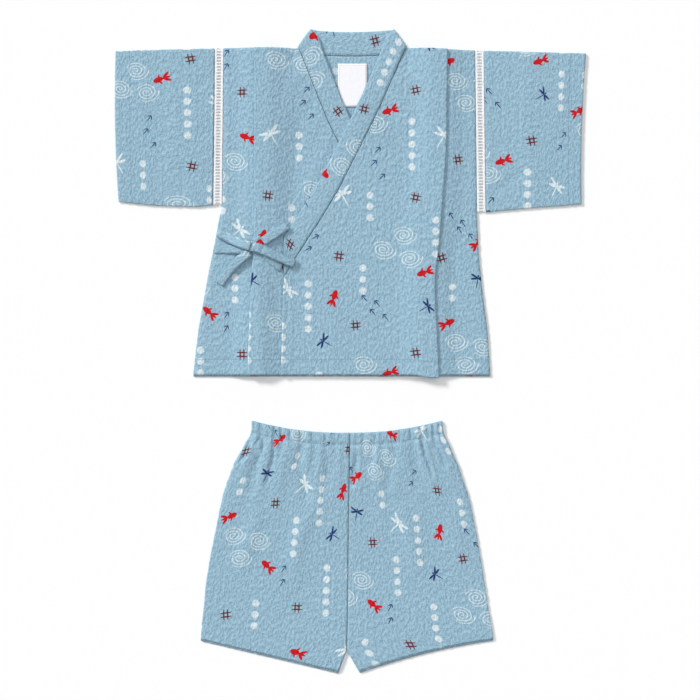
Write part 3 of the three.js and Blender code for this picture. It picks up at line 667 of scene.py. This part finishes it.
def makeClothMaterial(name, color, paintedTroughShade, printed, relief):
    made = bpy.data.materials.new(name)
    made.use_nodes = True
    tree = made.node_tree
    shader = tree.nodes["Principled BSDF"]
    flatCloth = addNode(tree, "ShaderNodeUVMap", uv_map="cloth")
    pucker = placeGroup(tree, puckerGroup, Cloth=flatCloth.outputs[0], Scale=puckerScale)
    # painted shade: where the pucker is low the cloth colour turns to the darker trough colour, shade painted
    # into the crinkle troughs
    tone = mixColor(tree, pucker.outputs["Pucker"], paintedTroughShade, color)
    if printed:
        spots = {}
        for attribute in motifLayers:
            spots[attribute] = addNode(tree, "ShaderNodeAttribute",
                                       attribute_name=attribute).outputs["Vector"]
        drawn = placeGroup(tree, printGroup, RippleSpot=spots["rippleSpot"], MotifSpot=spots["motifSpot"])
        wrong = addNode(tree, "ShaderNodeAttribute", attribute_name="wrongSide").outputs["Fac"]
        strength = calc(tree, "SUBTRACT", 1, calc(tree, "MULTIPLY", wrong, wrongFade))
        for output, ink in (("White", "white"), ("Brown", "brown"), ("Navy", "navy"), ("Red", "red")):
            tone = mixColor(tree, calc(tree, "MULTIPLY", drawn.outputs[output], strength), tone, inks[ink])
    # running stitches along hems and seams
    seam = addNode(tree, "ShaderNodeAttribute", attribute_name="seamSpot")
    parts = addNode(tree, "ShaderNodeSeparateXYZ")
    tree.links.new(seam.outputs["Vector"], parts.inputs[0])
    near = smoothStep(tree, calc(tree, "ABSOLUTE", parts.outputs[0]), *stitches["line"])
    wave = calc(tree, "SINE", calc(tree, "MULTIPLY", parts.outputs[1], stitches["rate"]))
    dashed = calc(tree, "MULTIPLY", near, smoothStep(tree, wave, *stitches["dash"]))
    stitch = calc(tree, "MULTIPLY", dashed, calc(tree, "COMPARE", parts.outputs[2], 1, 0.1))
    tone = mixColor(tree, calc(tree, "MULTIPLY", stitch, stitches["shown"]), tone, threadShade)
    tree.links.new(tone, shader.inputs["Base Color"])
    height = calc(tree, "SUBTRACT", pucker.outputs["Height"],
                  calc(tree, "MULTIPLY", stitch, stitches["sunk"]))
    bump = addNode(tree, "ShaderNodeBump")
    bump.inputs["Strength"].default_value = relief
    bump.inputs["Distance"].default_value = 0.0011
    tree.links.new(height, bump.inputs["Height"])
    tree.links.new(bump.outputs[0], shader.inputs["Normal"])
    shader.inputs["Roughness"].default_value = 0.9
    shader.inputs["Specular IOR Level"].default_value = 0.25
    shader.inputs["Sheen Weight"].default_value = 0.12
    return made


# the second colour of each material is painted shade for the troughs of its puckers
clothMaterial = makeClothMaterial("crinkledCotton", color=(0.352, 0.535, 0.655, 1),
                                  paintedTroughShade=(0.245, 0.405, 0.52, 1),
                                  printed=True, relief=0.6)
laceMaterial = makeClothMaterial("ladderLace", color=(0.90, 0.91, 0.93, 1), paintedTroughShade=(0.80, 0.82, 0.85, 1),
                                 printed=False, relief=0.3)
labelMaterial = makeClothMaterial("wovenLabel", color=(0.90, 0.90, 0.93, 1), paintedTroughShade=(0.87, 0.87, 0.91, 1),
                                  printed=False, relief=0.08)
print("materials made")


def spread(start, end, step=gridStep):
    return np.linspace(start, end, max(2, int(round(abs(end - start) / step)) + 1))


arc = np.linspace(0, math.pi, 6)[1:-1]
tuckColumns = {"under": 5, "side": 28}


def tuckSide(fold, outer, level, step, rest):
    # beyond the fold of a tuck, in plan and height: round the fold, back below it, and out to the side
    hidden = fold - tuckDepth + turn
    outward = np.linspace(hidden, outer, tuckColumns["side"])
    s = np.concatenate([fold - turn + turn * np.sin(arc),
                        np.linspace(fold - turn, hidden, tuckColumns["under"]),
                        hidden - turn * np.sin(arc), outward])
    bend = step / 2 * (1 - np.cos(arc))
    under = np.full(tuckColumns["under"], level + step)
    return s, np.concatenate([level + bend, under, level + step + bend, rest + backSideZ(outward, fold)])


hemDips = {"depth": 3.3, "from": 70, "fade": 18, "to": 97, "end": 2, "up": 60}
shoulderSlope = {"drop": 2.4, "x": 61, "across": 76, "y": 246, "up": 84}


def hemDip(x, y):
    alongHem = rise((x - hemDips["from"]) / hemDips["fade"]) * (1 - rise((x - hemDips["to"]) / hemDips["end"]))
    return hemDips["depth"] * alongHem * (1 - rise((y - hemY) / hemDips["up"]))


def shoulderDrop(x, y):
    outward = rise((x - shoulderSlope["x"]) / shoulderSlope["across"])
    return shoulderSlope["drop"] * outward * rise((y - shoulderSlope["y"]) / shoulderSlope["up"])


frontSizes = {"columns": 84, "bandY": 80, "liftFade": 40, "seamDrop": 0.55, "seamFade": 5, "hemStitch": 17,
              "belowCrease": 0.6}


def makeFront(name, side):
    over = side > 0
    fold, outer, edge = ("leftFold", "leftSide", "over") if over else ("rightFold", "rightSide", "under")
    heightOf = overZ if over else underZ
    wide = frontSizes["columns"]
    points, uv = [], []
    for y in spread(hemY, shoulderY):
        f, o = at(body, y, fold), at(body, y, outer)
        seam = 0 if y < frontSizes["bandY"] else seamGap
        inner = side * np.interp(y, frontEdge["y"], frontEdge[edge]) + seam
        s = np.linspace(inner, f - turn, wide)
        lift = neckLift(side * s, y) * rise((shoulderY - y) / frontSizes["liftFade"])
        z = cloth / 2 + heightOf(side * s, y, lift)
        beyondS, beyondZ = tuckSide(f, o, z[-1], -layer, cloth / 2 + layer)
        s, z = np.concatenate([s, beyondS]), np.concatenate([z, beyondZ])
        seamDrop = frontSizes["seamDrop"] * rise((s - o + frontSizes["seamFade"]) / frontSizes["seamFade"])
        length = np.concatenate([[0], np.cumsum(np.hypot(np.diff(s), np.diff(z)))])
        u = s.copy()
        u[wide:] = s[wide - 1] + length[wide:] - length[wide - 1]
        x = side * s
        strength = np.where(np.arange(len(s)) < wide + len(arc), 1, frontSizes["belowCrease"])
        lifted = creaseHeight(name, x, np.full(len(x), y)) * strength
        points.append(np.stack([x, y - hemDip(x, y) - shoulderDrop(x, y), z + lifted - seamDrop], 1))
        uv.append(np.stack([side * u, np.full(len(u), y)], 1))
    points, uv = np.array(points), np.array(uv)
    seams = np.stack([uv[..., 1] - (hemY + frontSizes["hemStitch"]), uv[..., 0]], 2)
    return makePanel(name, points, uv, seams=seams, shift=(40, 96) if over else (118, 30))


backSizes = {"columns": 100, "hemPast": 1.6, "crinkle": 0.12}


def makeBack():
    order = np.argsort(neckRows["seamX"])
    neckX, neckY = neckRows["seamX"][order], neckRows["seamY"][order] - seamGap
    points, uv = [], []
    for y in spread(hemY, shoulderY):
        right, left = at(body, y, "rightFold"), at(body, y, "leftFold")
        middleX = np.linspace(-right + turn, left - turn, backSizes["columns"])
        middleZ = np.full(backSizes["columns"], cloth / 2)
        rightS, rightZ = tuckSide(right, at(body, y, "rightSide"), cloth / 2, layer, cloth / 2)
        leftS, leftZ = tuckSide(left, at(body, y, "leftSide"), cloth / 2, layer, cloth / 2)
        x = np.concatenate([-rightS[::-1], middleX, leftS])
        z = np.concatenate([rightZ[::-1], middleZ, leftZ])
        length = np.concatenate([[0], np.cumsum(np.hypot(np.diff(x), np.diff(z)))])
        start = len(rightS)
        u = length - length[start] + x[start]
        topY = np.where((x < neckX[0]) | (x > neckX[-1]), shoulderY, np.interp(x, neckX, neckY))
        share = (y - hemY) / (shoulderY - hemY)
        rowY = (hemY - backSizes["hemPast"]) * (1 - share) + topY * share - shoulderDrop(x, y)
        points.append(np.stack([x, rowY, z + creaseHeight("back", x, rowY)], 1))
        uv.append(np.stack([u, rowY], 1))
    return makePanel("back", np.array(points), np.array(uv), crinkle=backSizes["crinkle"], rightSideUp=False,
                     shift=(10, 150))


collarSizes = {"columns": 13, "rowStep": 1.9, "lowY": 82.0, "topY": 331.1, "crown": 0.35, "neckCrown": 0.2,
               "sunk": 0.1, "turnX": 0.814, "turnY": 0.582, "turnRows": 7, "neckRows": 60, "stitch": 1.4,
               "wall": 1.15, "crinkle": 0.14}


def makeCollar():
    across = np.linspace(0, 1, collarSizes["columns"])
    bulge = np.sin(math.pi * across)

    def stretch(side):
        found = []
        for y in spread(collarSizes["lowY"], collarSizes["topY"], collarSizes["rowStep"]):
            angle = math.radians(float(np.interp(y, bandRows["y"], bandRows["lean"])))
            width = float(np.interp(y, bandRows["y"], bandRows["width"]))
            seamX = float(np.interp(y, frontEdge["y"], frontEdge["over" if side > 0 else "under"]))
            x = seamX + side * math.cos(angle) * width * across
            bandY = y + math.sin(angle) * width * across
            lift = neckLift(x, bandY)
            z = overZ(x, bandY, lift) if side > 0 else underZ(x, bandY, lift)
            z = z + bandWall / 2 + collarSizes["crown"] * bulge - collarSizes["sunk"]
            found.append(np.stack([x, bandY, z], 1))
        return found

    def turnedEdge(row, side):
        # round the edge where the band turns over from a front to the neck
        radius = (row[:, 2] - bandWall / 2) / 2
        found = []
        for angle in np.linspace(0, math.pi, collarSizes["turnRows"])[1:-1]:
            out = radius * math.sin(angle)
            x, y = row[:, 0] + side * collarSizes["turnX"] * out, row[:, 1] + collarSizes["turnY"] * out
            found.append(np.stack([x, y, bandWall / 2 + radius * (1 + math.cos(angle))], 1))
        return found

    over, under = stretch(1), stretch(-1)[::-1]
    neck = []
    levels = np.arange(float(len(neckRows["seamX"])))
    for place in np.linspace(0, levels[-1], collarSizes["neckRows"]):
        seamX, seamY, topX, topY = (float(curveAt(place, levels, neckRows[n])) for n in neckRows)
        x, y = seamX + (topX - seamX) * across, seamY + (topY - seamY) * across
        z = bandWall / 2 + creaseHeight("collar", x, y) + collarSizes["neckCrown"] * bulge
        neck.append(np.stack([x, y, z], 1))
    points = np.array([*over, *turnedEdge(over[-1], 1), *neck, *turnedEdge(under[0], -1)[::-1], *under])
    middleLine = points[:, collarSizes["columns"] // 2]
    length = np.concatenate([[0], np.cumsum(np.linalg.norm(np.diff(middleLine, axis=0), axis=1))])
    uv = np.stack(np.broadcast_arrays(across[None, :] * bandWidth, length[:, None]), 2).astype(float)
    seams = np.stack([uv[..., 0] - collarSizes["stitch"], uv[..., 1]], 2)
    return makePanel("collar", points, uv, wall=collarSizes["wall"], crinkle=collarSizes["crinkle"],
                     seams=seams,
                     shift=(98, 60), held="folded")


sleeveSizes = {"around": 84, "across": 54, "swell": 0.3, "cuffStitch": 17}


def makeSleeve(name, rows, armholeSide):
    lowZ, highZ, radius = cloth / 2, cloth / 2 + layer, layer / 2
    cuffX, innerX = float(rows["topX"][0]), float(rows["topX"][-1])
    levels = np.arange(len(rows["topX"]), dtype=float)
    points, uv, seams = [], [], []
    t = np.linspace(0, 1, sleeveSizes["around"])
    for place in np.linspace(0, levels[-1], sleeveSizes["across"]):
        topX, topY, bottomX, bottomY, bend = (float(curveAt(place, levels, rows[n])) for n in rows)
        top, bottom = np.array([topX, topY]), np.array([bottomX, bottomY])
        out = (bottom - top) / np.linalg.norm(bottom - top)
        top, bottom = top + out * (radius + cloth / 2), bottom - out * (radius + cloth / 2)
        line = top + (bottom - top) * t[:, None]
        line[:, 0] += 4 * t * (1 - t) * bend
        z = highZ + creaseHeight(name, line[:, 0], line[:, 1]) + sleeveSizes["swell"] * np.sin(math.pi * t)
        seam = [(*(bottom + out * radius * math.sin(a)), lowZ + radius + radius * math.cos(a)) for a in arc]
        fold = [(*(top - out * radius * math.sin(a)), lowZ + radius - radius * math.cos(a)) for a in arc]
        front, back = np.column_stack([line, z]), np.column_stack([line[::-1], np.full(len(t), lowZ)])
        ring = np.vstack([front, seam, back, fold])
        points.append(ring)
        closed = np.vstack([ring, ring[:1]])
        length = np.concatenate([[0], np.cumsum(np.linalg.norm(np.diff(closed, axis=0), axis=1))])
        across = place / levels[-1] * abs(innerX - cuffX) + cuffX
        uv.append(np.column_stack([np.full(len(length), across), topY - length]))
        cuffAway = across - cuffX if armholeSide > 0 else innerX - across
        seams.append(np.column_stack([np.full(len(length), cuffAway - sleeveSizes["cuffStitch"]), length]))
    return makePanel(name, np.array(points), np.array(uv), ring=True, seams=np.array(seams),
                     shift=(0, 60) if armholeSide > 0 else (206, 150))


legSizes = {"flat": 158, "columns": 78, "rows": (7, 6, 11, 15, 20, 22, 17, 13, 9), "hemDrop": 2.4,
            "creases": 2.0, "topWave": 1.3, "casingRow": 1, "casingSunk": 0.9, "hemRow": 7.9, "lowest": 0.25}
smallGathers = {"count": 12.3, "uneven": 0.8, "sway": 5.1, "drift": 0.12, "height": 0.42, "fade": 2.4}


def makeLeg(name, rows):
    lowZ, highZ = cloth / 2, cloth / 2 + layer
    levels = np.arange(float(len(rows["inX"])))
    stretches = [np.linspace(i, i + 1, n, endpoint=False) for i, n in enumerate(legSizes["rows"])]
    t = np.linspace(0, 1, legSizes["columns"])
    bumps = curveAt(t, np.linspace(0, 1, len(gathers)), gathers)
    waves = smallGathers["count"] * t + smallGathers["uneven"] * np.sin(smallGathers["sway"] * t + 1)
    sign = 1 if rows["outX"][0] > 0 else -1
    points, uv, seams = [], [], []
    for place in [*np.concatenate(stretches), levels[-1]]:
        inX, inY, outY = (float(np.interp(place, levels, rows[n])) for n in ("inX", "inY", "outY"))
        outX, sag, puff = (float(curveAt(place, levels, rows[n])) for n in ("outX", "sag", "puff"))
        inner, outer = np.array([inX, inY]), np.array([outX, outY])
        out = (outer - inner) / np.linalg.norm(outer - inner)
        outer = outer - out * (turn + cloth / 2)
        line = inner + (outer - inner) * t[:, None]
        line[:, 1] -= 4 * t * (1 - t) * sag
        drop = legSizes["hemDrop"] * rise(place - 8)
        small = 0.5 + 0.5 * np.sin(2 * math.pi * (waves + smallGathers["drift"] * place))
        smallHeight = smallGathers["height"] * math.exp(-(place / smallGathers["fade"]) ** 2)
        billow = max(puff, 0) * (0.35 + 0.45 * bumps + smallHeight * small)
        crease = legSizes["creases"] * creaseHeight(name, line[:, 0], line[:, 1])
        front = np.column_stack([line, highZ + billow + crease])
        front[:, 1] -= legSizes["topWave"] * (1 - small) * bumps ** 0.5 * math.exp(-place)
        casing = legSizes["casingSunk"] * math.exp(-((place - legSizes["casingRow"]) / 0.16) ** 2)
        front[:, 2] = np.maximum(front[:, 2] - casing, highZ - legSizes["lowest"])
        side = np.array([(*(outer + out * turn * math.sin(a)),
                          lowZ + turn + turn * math.cos(a)) for a in arc])
        side[:, 1] -= np.linspace(0, drop, len(side))
        backPart = np.column_stack([line[::-1], np.full(len(t), lowZ)])
        backPart[:, 1] -= drop
        points.append(np.vstack([front, side, backPart]))
        wide = legSizes["flat"]
        across = np.concatenate([t * wide, wide + np.linspace(0.5, 1.5, len(side)), wide + 2 + t * wide])
        down = inY + (outY - inY) * t
        uv.append(np.column_stack([sign * across,
                                   np.concatenate([down, np.full(len(side), outY), down[::-1]])]))
        fromCasing, fromHem = abs(place - legSizes["casingRow"]) * 12.5, abs(place - legSizes["hemRow"]) * 18
        away = np.full(len(across), min(fromCasing, 99) if place < 5 else fromHem)
        seams.append(np.column_stack([away, across]))
    return makePanel(name, np.array(points), np.array(uv), seams=np.array(seams), held="gathered",
                     shift=(30, 20) if sign < 0 else (196, 64))


# The bow and its ties: middle lines as x, y and how far each is lifted off what it lies on
bow = {
    "tie_side": [(-149.0, 109.5, 0), (-133.0, 109.6, 0), (-118.0, 109.4, 0), (-109.0, 110.0, 0)],
    "bow_tail_left": [(-110.4, 105.6, 1.5), (-117.0, 100.8, 2.4), (-125.0, 94.0, 2.6), (-134.5, 83.5, 2.0),
                      (-143.5, 71.3, 0.8)],
    "bow_tail_right": [(-95.4, 117.6, 1.5), (-89.0, 121.8, 1.9), (-80.0, 127.6, 1.6), (-69.0, 135.5, 0.6)],
    "bow_loop_left": [(-109.0, 112.0, 3.0), (-116.0, 114.4, 3.0), (-124.0, 117.4, 2.2), (-134.0, 122.2, 1.2),
                      (-143.5, 127.4, 0.6)],
    "bow_loop_right": [(-95.6, 108.6, 3.0), (-89.0, 105.6, 2.8), (-80.0, 101.6, 1.8), (-71.0, 97.8, 1.0),
                       (-62.2, 94.1, 0.8)],
}
frontTie = [(-74.8, 89.6, 0), (-77.5, 90.4, 0), (-83.5, 95.6, 0), (-90.0, 102.0, 0), (-95.4, 106.5, 0)]
bowBed = {"sideX": -140, "tuckX": -108, "slopeX": -90, "innerX": -76, "endX": -52, "dip": 0.7, "inner": 4.5,
          "tieY": 110.8}
strip = {"columns": 9, "wall": 0.95, "crinkle": 0.1, "rolled": 0.5, "stitch": 3.9, "step": 2.0,
         "loopStep": 1.6,
         "loopGap": 0.7}


def between(x, start, end):
    return float(rise((x - start) / (end - start)))


def bowBedZ(x):
    # height that the bow lies on: the side of the back, then the tuck, then the front inside it
    side, tuck = 2 * layer - gap, tuckTop + cloth
    slope = tuck - bowBed["dip"]
    if x < bowBed["tuckX"]:
        return side + (tuck - side) * between(x, bowBed["sideX"], bowBed["tuckX"])
    if x < bowBed["innerX"]:
        return tuck - bowBed["dip"] * between(x, bowBed["slopeX"], bowBed["innerX"])
    return slope + (bowBed["inner"] - slope) * between(x, bowBed["innerX"], bowBed["endX"])


def frontBedZ(x):
    return float(underZ(x, bowBed["tieY"], 0)) + layer


def stripPath(rows, bed, step=strip["step"]):
    # middle points of a strip, with the height of what it lies on
    points = np.array([(x, y, bed(x) + gap + lift + cloth / 2) for x, y, lift in rows])
    ends = np.concatenate([[0], np.cumsum(np.hypot(*np.diff(points[:, :2], axis=0).T))])
    places = spread(0, ends[-1], step)
    return np.stack([curveAt(places, ends, points[:, k]) for k in range(3)], 1)


def makeStrip(name, path, shift, widths=None):
    across = np.linspace(-0.5, 0.5, strip["columns"])
    along = np.gradient(path, axis=0)
    along /= np.linalg.norm(along, axis=1, keepdims=True)
    flatAlong = along[:, :2] / np.maximum(np.linalg.norm(along[:, :2], axis=1, keepdims=True), 1e-6)
    flatAlong = np.where((flatAlong @ flatAlong[0])[:, None] < 0, -flatAlong, flatAlong)
    side = np.stack([-flatAlong[:, 1], flatAlong[:, 0]], 1)
    widths = np.full(len(path), tieWidth) if widths is None else widths
    points = np.repeat(path[:, None, :], strip["columns"], 1)
    points[..., :2] += side[:, None, :] * across[None, :, None] * widths[:, None, None]
    points[..., 2] -= strip["rolled"] * (2 * across[None, :]) ** 4
    length = np.concatenate([[0], np.cumsum(np.linalg.norm(np.diff(path, axis=0), axis=1))])
    uv = np.stack(np.broadcast_arrays(across[None, :] * tieWidth, length[:, None]), 2).astype(float)
    seams = np.stack([np.abs(uv[..., 0]) - strip["stitch"], uv[..., 1]], 2)
    return makePanel(name, points, uv, wall=strip["wall"], crinkle=strip["crinkle"], seams=seams, shift=shift,
                     held="folded")


def loopPath(rows):
    radius = (cloth + strip["loopGap"]) / 2
    low = stripPath(rows, bowBedZ, strip["loopStep"])
    upper = low + np.array([0, 0, 2 * radius])
    ahead = low[-1] - low[-2]
    ahead[2] = 0
    ahead /= np.linalg.norm(ahead)
    up = np.array([0, 0, 1])
    bend = [low[-1] + ahead * radius * math.sin(a) + up * (radius + radius * math.cos(a)) for a in arc]
    return np.vstack([upper, bend, low[::-1]])


knot = {"from": (-109.6, 112.6), "to": (-95.0, 108.2), "low": 11.6, "crown": 1.7, "rows": 15, "bend": 0.5,
        "crease": 0.5, "creaseAt": 0.48, "creaseWidth": 0.06, "width": 10.6, "waist": 0.9}


def makeBow():
    for i, (name, rows) in enumerate(bow.items()):
        path = loopPath(rows) if "loop" in name else stripPath(rows, bowBedZ)
        makeStrip(name, path, (30 + 37 * i, 12 + 61 * i))
    makeStrip("tie_front", stripPath(frontTie, frontBedZ), (140, 60))
    # the knot: the strip that wraps it runs on from one loop to the other, over a small crown
    t = np.linspace(0, 1, knot["rows"])
    arch = np.sin(math.pi * t)
    crease = knot["crease"] * np.exp(-((t - knot["creaseAt"]) / knot["creaseWidth"]) ** 2)
    path = np.stack([knot["from"][0] + (knot["to"][0] - knot["from"][0]) * t,
                     knot["from"][1] + (knot["to"][1] - knot["from"][1]) * t + knot["bend"] * arch,
                     knot["low"] + knot["crown"] * arch - crease], 1)
    makeStrip("bow_knot", path, (200, 100), widths=knot["width"] - knot["waist"] * arch)


# The ladder lace: two bands joined by rungs, all round the armhole
laceSizes = {"width": 9.2, "band": 2.2, "rung": 1.95, "pitch": 3.3, "wall": 0.7, "low": 0.5, "radius": 0.65,
             "end": 1.2, "cord": 0.12, "waist": 0.72, "filled": 0.85}
laceEnds = {"lace_right": {"side": -1, "top": (-139.1, 331.0), "bottom": (-140.9, 157.6)},
            "lace_left": {"side": 1, "top": (137.6, 328.4), "bottom": (139.7, 150.3)}}


def makeLace(name, side, top, bottom):
    lowZ, radius = laceSizes["low"], laceSizes["radius"]
    top, bottom = np.array(top, float), np.array(bottom, float)
    out = (bottom - top) / np.linalg.norm(bottom - top)
    a, b = top + out * laceSizes["end"], bottom - out * laceSizes["end"]
    count = int(np.linalg.norm(b - a) / laceSizes["pitch"] * 4)
    line = [a + (b - a) * t for t in np.linspace(0, 1, count)]
    ring = [(*p, lowZ + 2 * radius) for p in line]
    ring += [(*(b + out * radius * math.sin(g)), lowZ + radius + radius * math.cos(g)) for g in arc]
    ring += [(*p, lowZ) for p in line[::-1]]
    ring += [(*(a - out * radius * math.sin(g)), lowZ + radius - radius * math.cos(g)) for g in arc]
    ring = np.array(ring)
    closed = np.vstack([ring, ring[:1]])
    ends = np.concatenate([[0], np.cumsum(np.linalg.norm(np.diff(closed, axis=0), axis=1))])
    rungs = int(ends[-1] / laceSizes["pitch"])
    pitch = ends[-1] / rungs

    def spotAt(length, across, lift):
        length = length % ends[-1]
        p = np.array([np.interp(length, ends, closed[:, k]) for k in range(3)])
        q = np.array([np.interp((length + 0.2) % ends[-1], ends, closed[:, k]) for k in range(3)])
        ahead = (q - p) / max(np.linalg.norm(q - p), 1e-6)
        normal = np.cross(ahead, np.array([1.0, 0, 0]))
        normal *= 1 if normal @ (p - closed[:-1].mean(0)) > 0 else -1
        normal /= np.linalg.norm(normal)
        return p + np.array([side * across, 0, 0]) + normal * lift

    vertices, faces = [], []
    half = laceSizes["wall"] / 2
    cord = laceSizes["cord"]
    # bands: a small closed tube each, thicker at every rung
    for start, end in ((0, laceSizes["band"]), (laceSizes["width"] - laceSizes["band"], laceSizes["width"])):
        steps = rungs * 3
        base = len(vertices)
        for i in range(steps):
            crown = half + cord + cord * math.cos(2 * math.pi * i / 3)
            outline = ((start, -half), (start, half), ((start + end) / 2, crown), (end, half), (end, -half))
            for across, lift in outline:
                vertices.append(spotAt(i * ends[-1] / steps, across, lift))
        for i in range(steps):
            for k in range(5):
                a0, a1 = base + i * 5 + k, base + i * 5 + (k + 1) % 5
                b0, b1 = base + (i + 1) % steps * 5 + k, base + (i + 1) % steps * 5 + (k + 1) % 5
                faces.append((a0, a1, b1, b0))
    inner, outer = laceSizes["band"] - 0.2, laceSizes["width"] - laceSizes["band"] + 0.2
    for i in range(rungs):
        base = len(vertices)
        for share in (0, 0.25, 0.5, 0.75, 1):
            wide = laceSizes["rung"] / 2 * (laceSizes["waist"] + (1 - laceSizes["waist"]) * (2 * share - 1) ** 2)
            for along, lift in ((-wide, -half * 0.8), (-wide, half * 0.8), (wide, half * 0.8),
                                (wide, -half * 0.8)):
                vertices.append(spotAt((i + 0.5) * pitch + along, inner + (outer - inner) * share, lift))
        for j in range(4):
            for k in range(4):
                a0, a1 = base + j * 4 + k, base + j * 4 + (k + 1) % 4
                faces.append((a0, a1, a1 + 4, a0 + 4))
        faces += [(base + 3, base + 2, base + 1, base), (base + 16, base + 17, base + 18, base + 19)]
    points = (np.array(vertices) - (*middle, 0)) * mm
    mesh = bpy.data.meshes.new(name)
    mesh.from_pydata(points.tolist(), [], faces)
    piece = bpy.data.objects.new(name + "_strip", mesh)
    bpy.context.scene.collection.objects.link(piece)
    bpy.ops.object.select_all(action="DESELECT")
    piece.select_set(True)
    bpy.context.view_layer.objects.active = piece
    bpy.ops.object.mode_set(mode="EDIT")
    bpy.ops.mesh.select_all(action="SELECT")
    bpy.ops.mesh.normals_make_consistent(inside=False)
    bpy.ops.object.mode_set(mode="OBJECT")
    uvLayer = mesh.uv_layers.new(name="cloth")
    corner = np.array([mesh.vertices[loop.vertex_index].co[:2] for loop in mesh.loops])
    uvLayer.data.foreach_set("uv", corner.astype(np.float32).ravel())
    mesh.materials.append(laceMaterial)
    enterPiece(piece, name)
    across, around = max(laceSizes["width"] * mm, leastSide), float(ends[-1]) * mm
    print(f"{name}: {rungs} rungs, {around:.3f} m round")


label = {"left": -13.2, "right": 18.7, "bottom": 266.2, "top": 313.5, "wall": 0.5, "crinkle": 0.03,
         "off": 0.05, "swell": 0.15, "stitch": 1.6}


def makeLabel():
    left, right, bottom, top = (label[n] for n in ("left", "right", "bottom", "top"))
    x, y = np.meshgrid(np.linspace(left, right, 18), np.linspace(bottom, top, 26))
    swell = label["swell"] * np.sin(math.pi * (x - left) / (right - left))
    z = layer + labelWall / 2 + label["off"] + swell
    edge = np.minimum(np.minimum(x - left, right - x), np.minimum(y - bottom, top - y)) - label["stitch"]
    makePanel("neck_label", np.stack([x, y, z], 2), np.stack([x, y], 2),
              wall=label["wall"],
              crinkle=label["crinkle"], printed=False, seams=np.stack([edge, x + y], 2),
              material=labelMaterial)


makeBack()
makeFront("front_right", -1)
makeFront("front_left", 1)
makeCollar()
for name, rows in sleeves.items():
    makeSleeve(name, rows, 1 if name == "sleeve_right" else -1)
for name, ends in laceEnds.items():
    makeLace(name, **ends)
makeLabel()
makeBow()
for name, rows in legs.items():
    makeLeg(name, rows)
print("garment made")

floorMaterial = bpy.data.materials.new("paleFloor")
floorMaterial.use_nodes = True
floorShader = floorMaterial.node_tree.nodes["Principled BSDF"]
floorShader.inputs["Base Color"].default_value = (0.93, 0.93, 0.93, 1)
floorShader.inputs["Roughness"].default_value = 0.9
bpy.ops.mesh.primitive_plane_add(size=6, location=(0, 0, -0.5 * mm))
floor = bpy.context.object
floor.name = "floor"
floor.data.materials.append(floorMaterial)
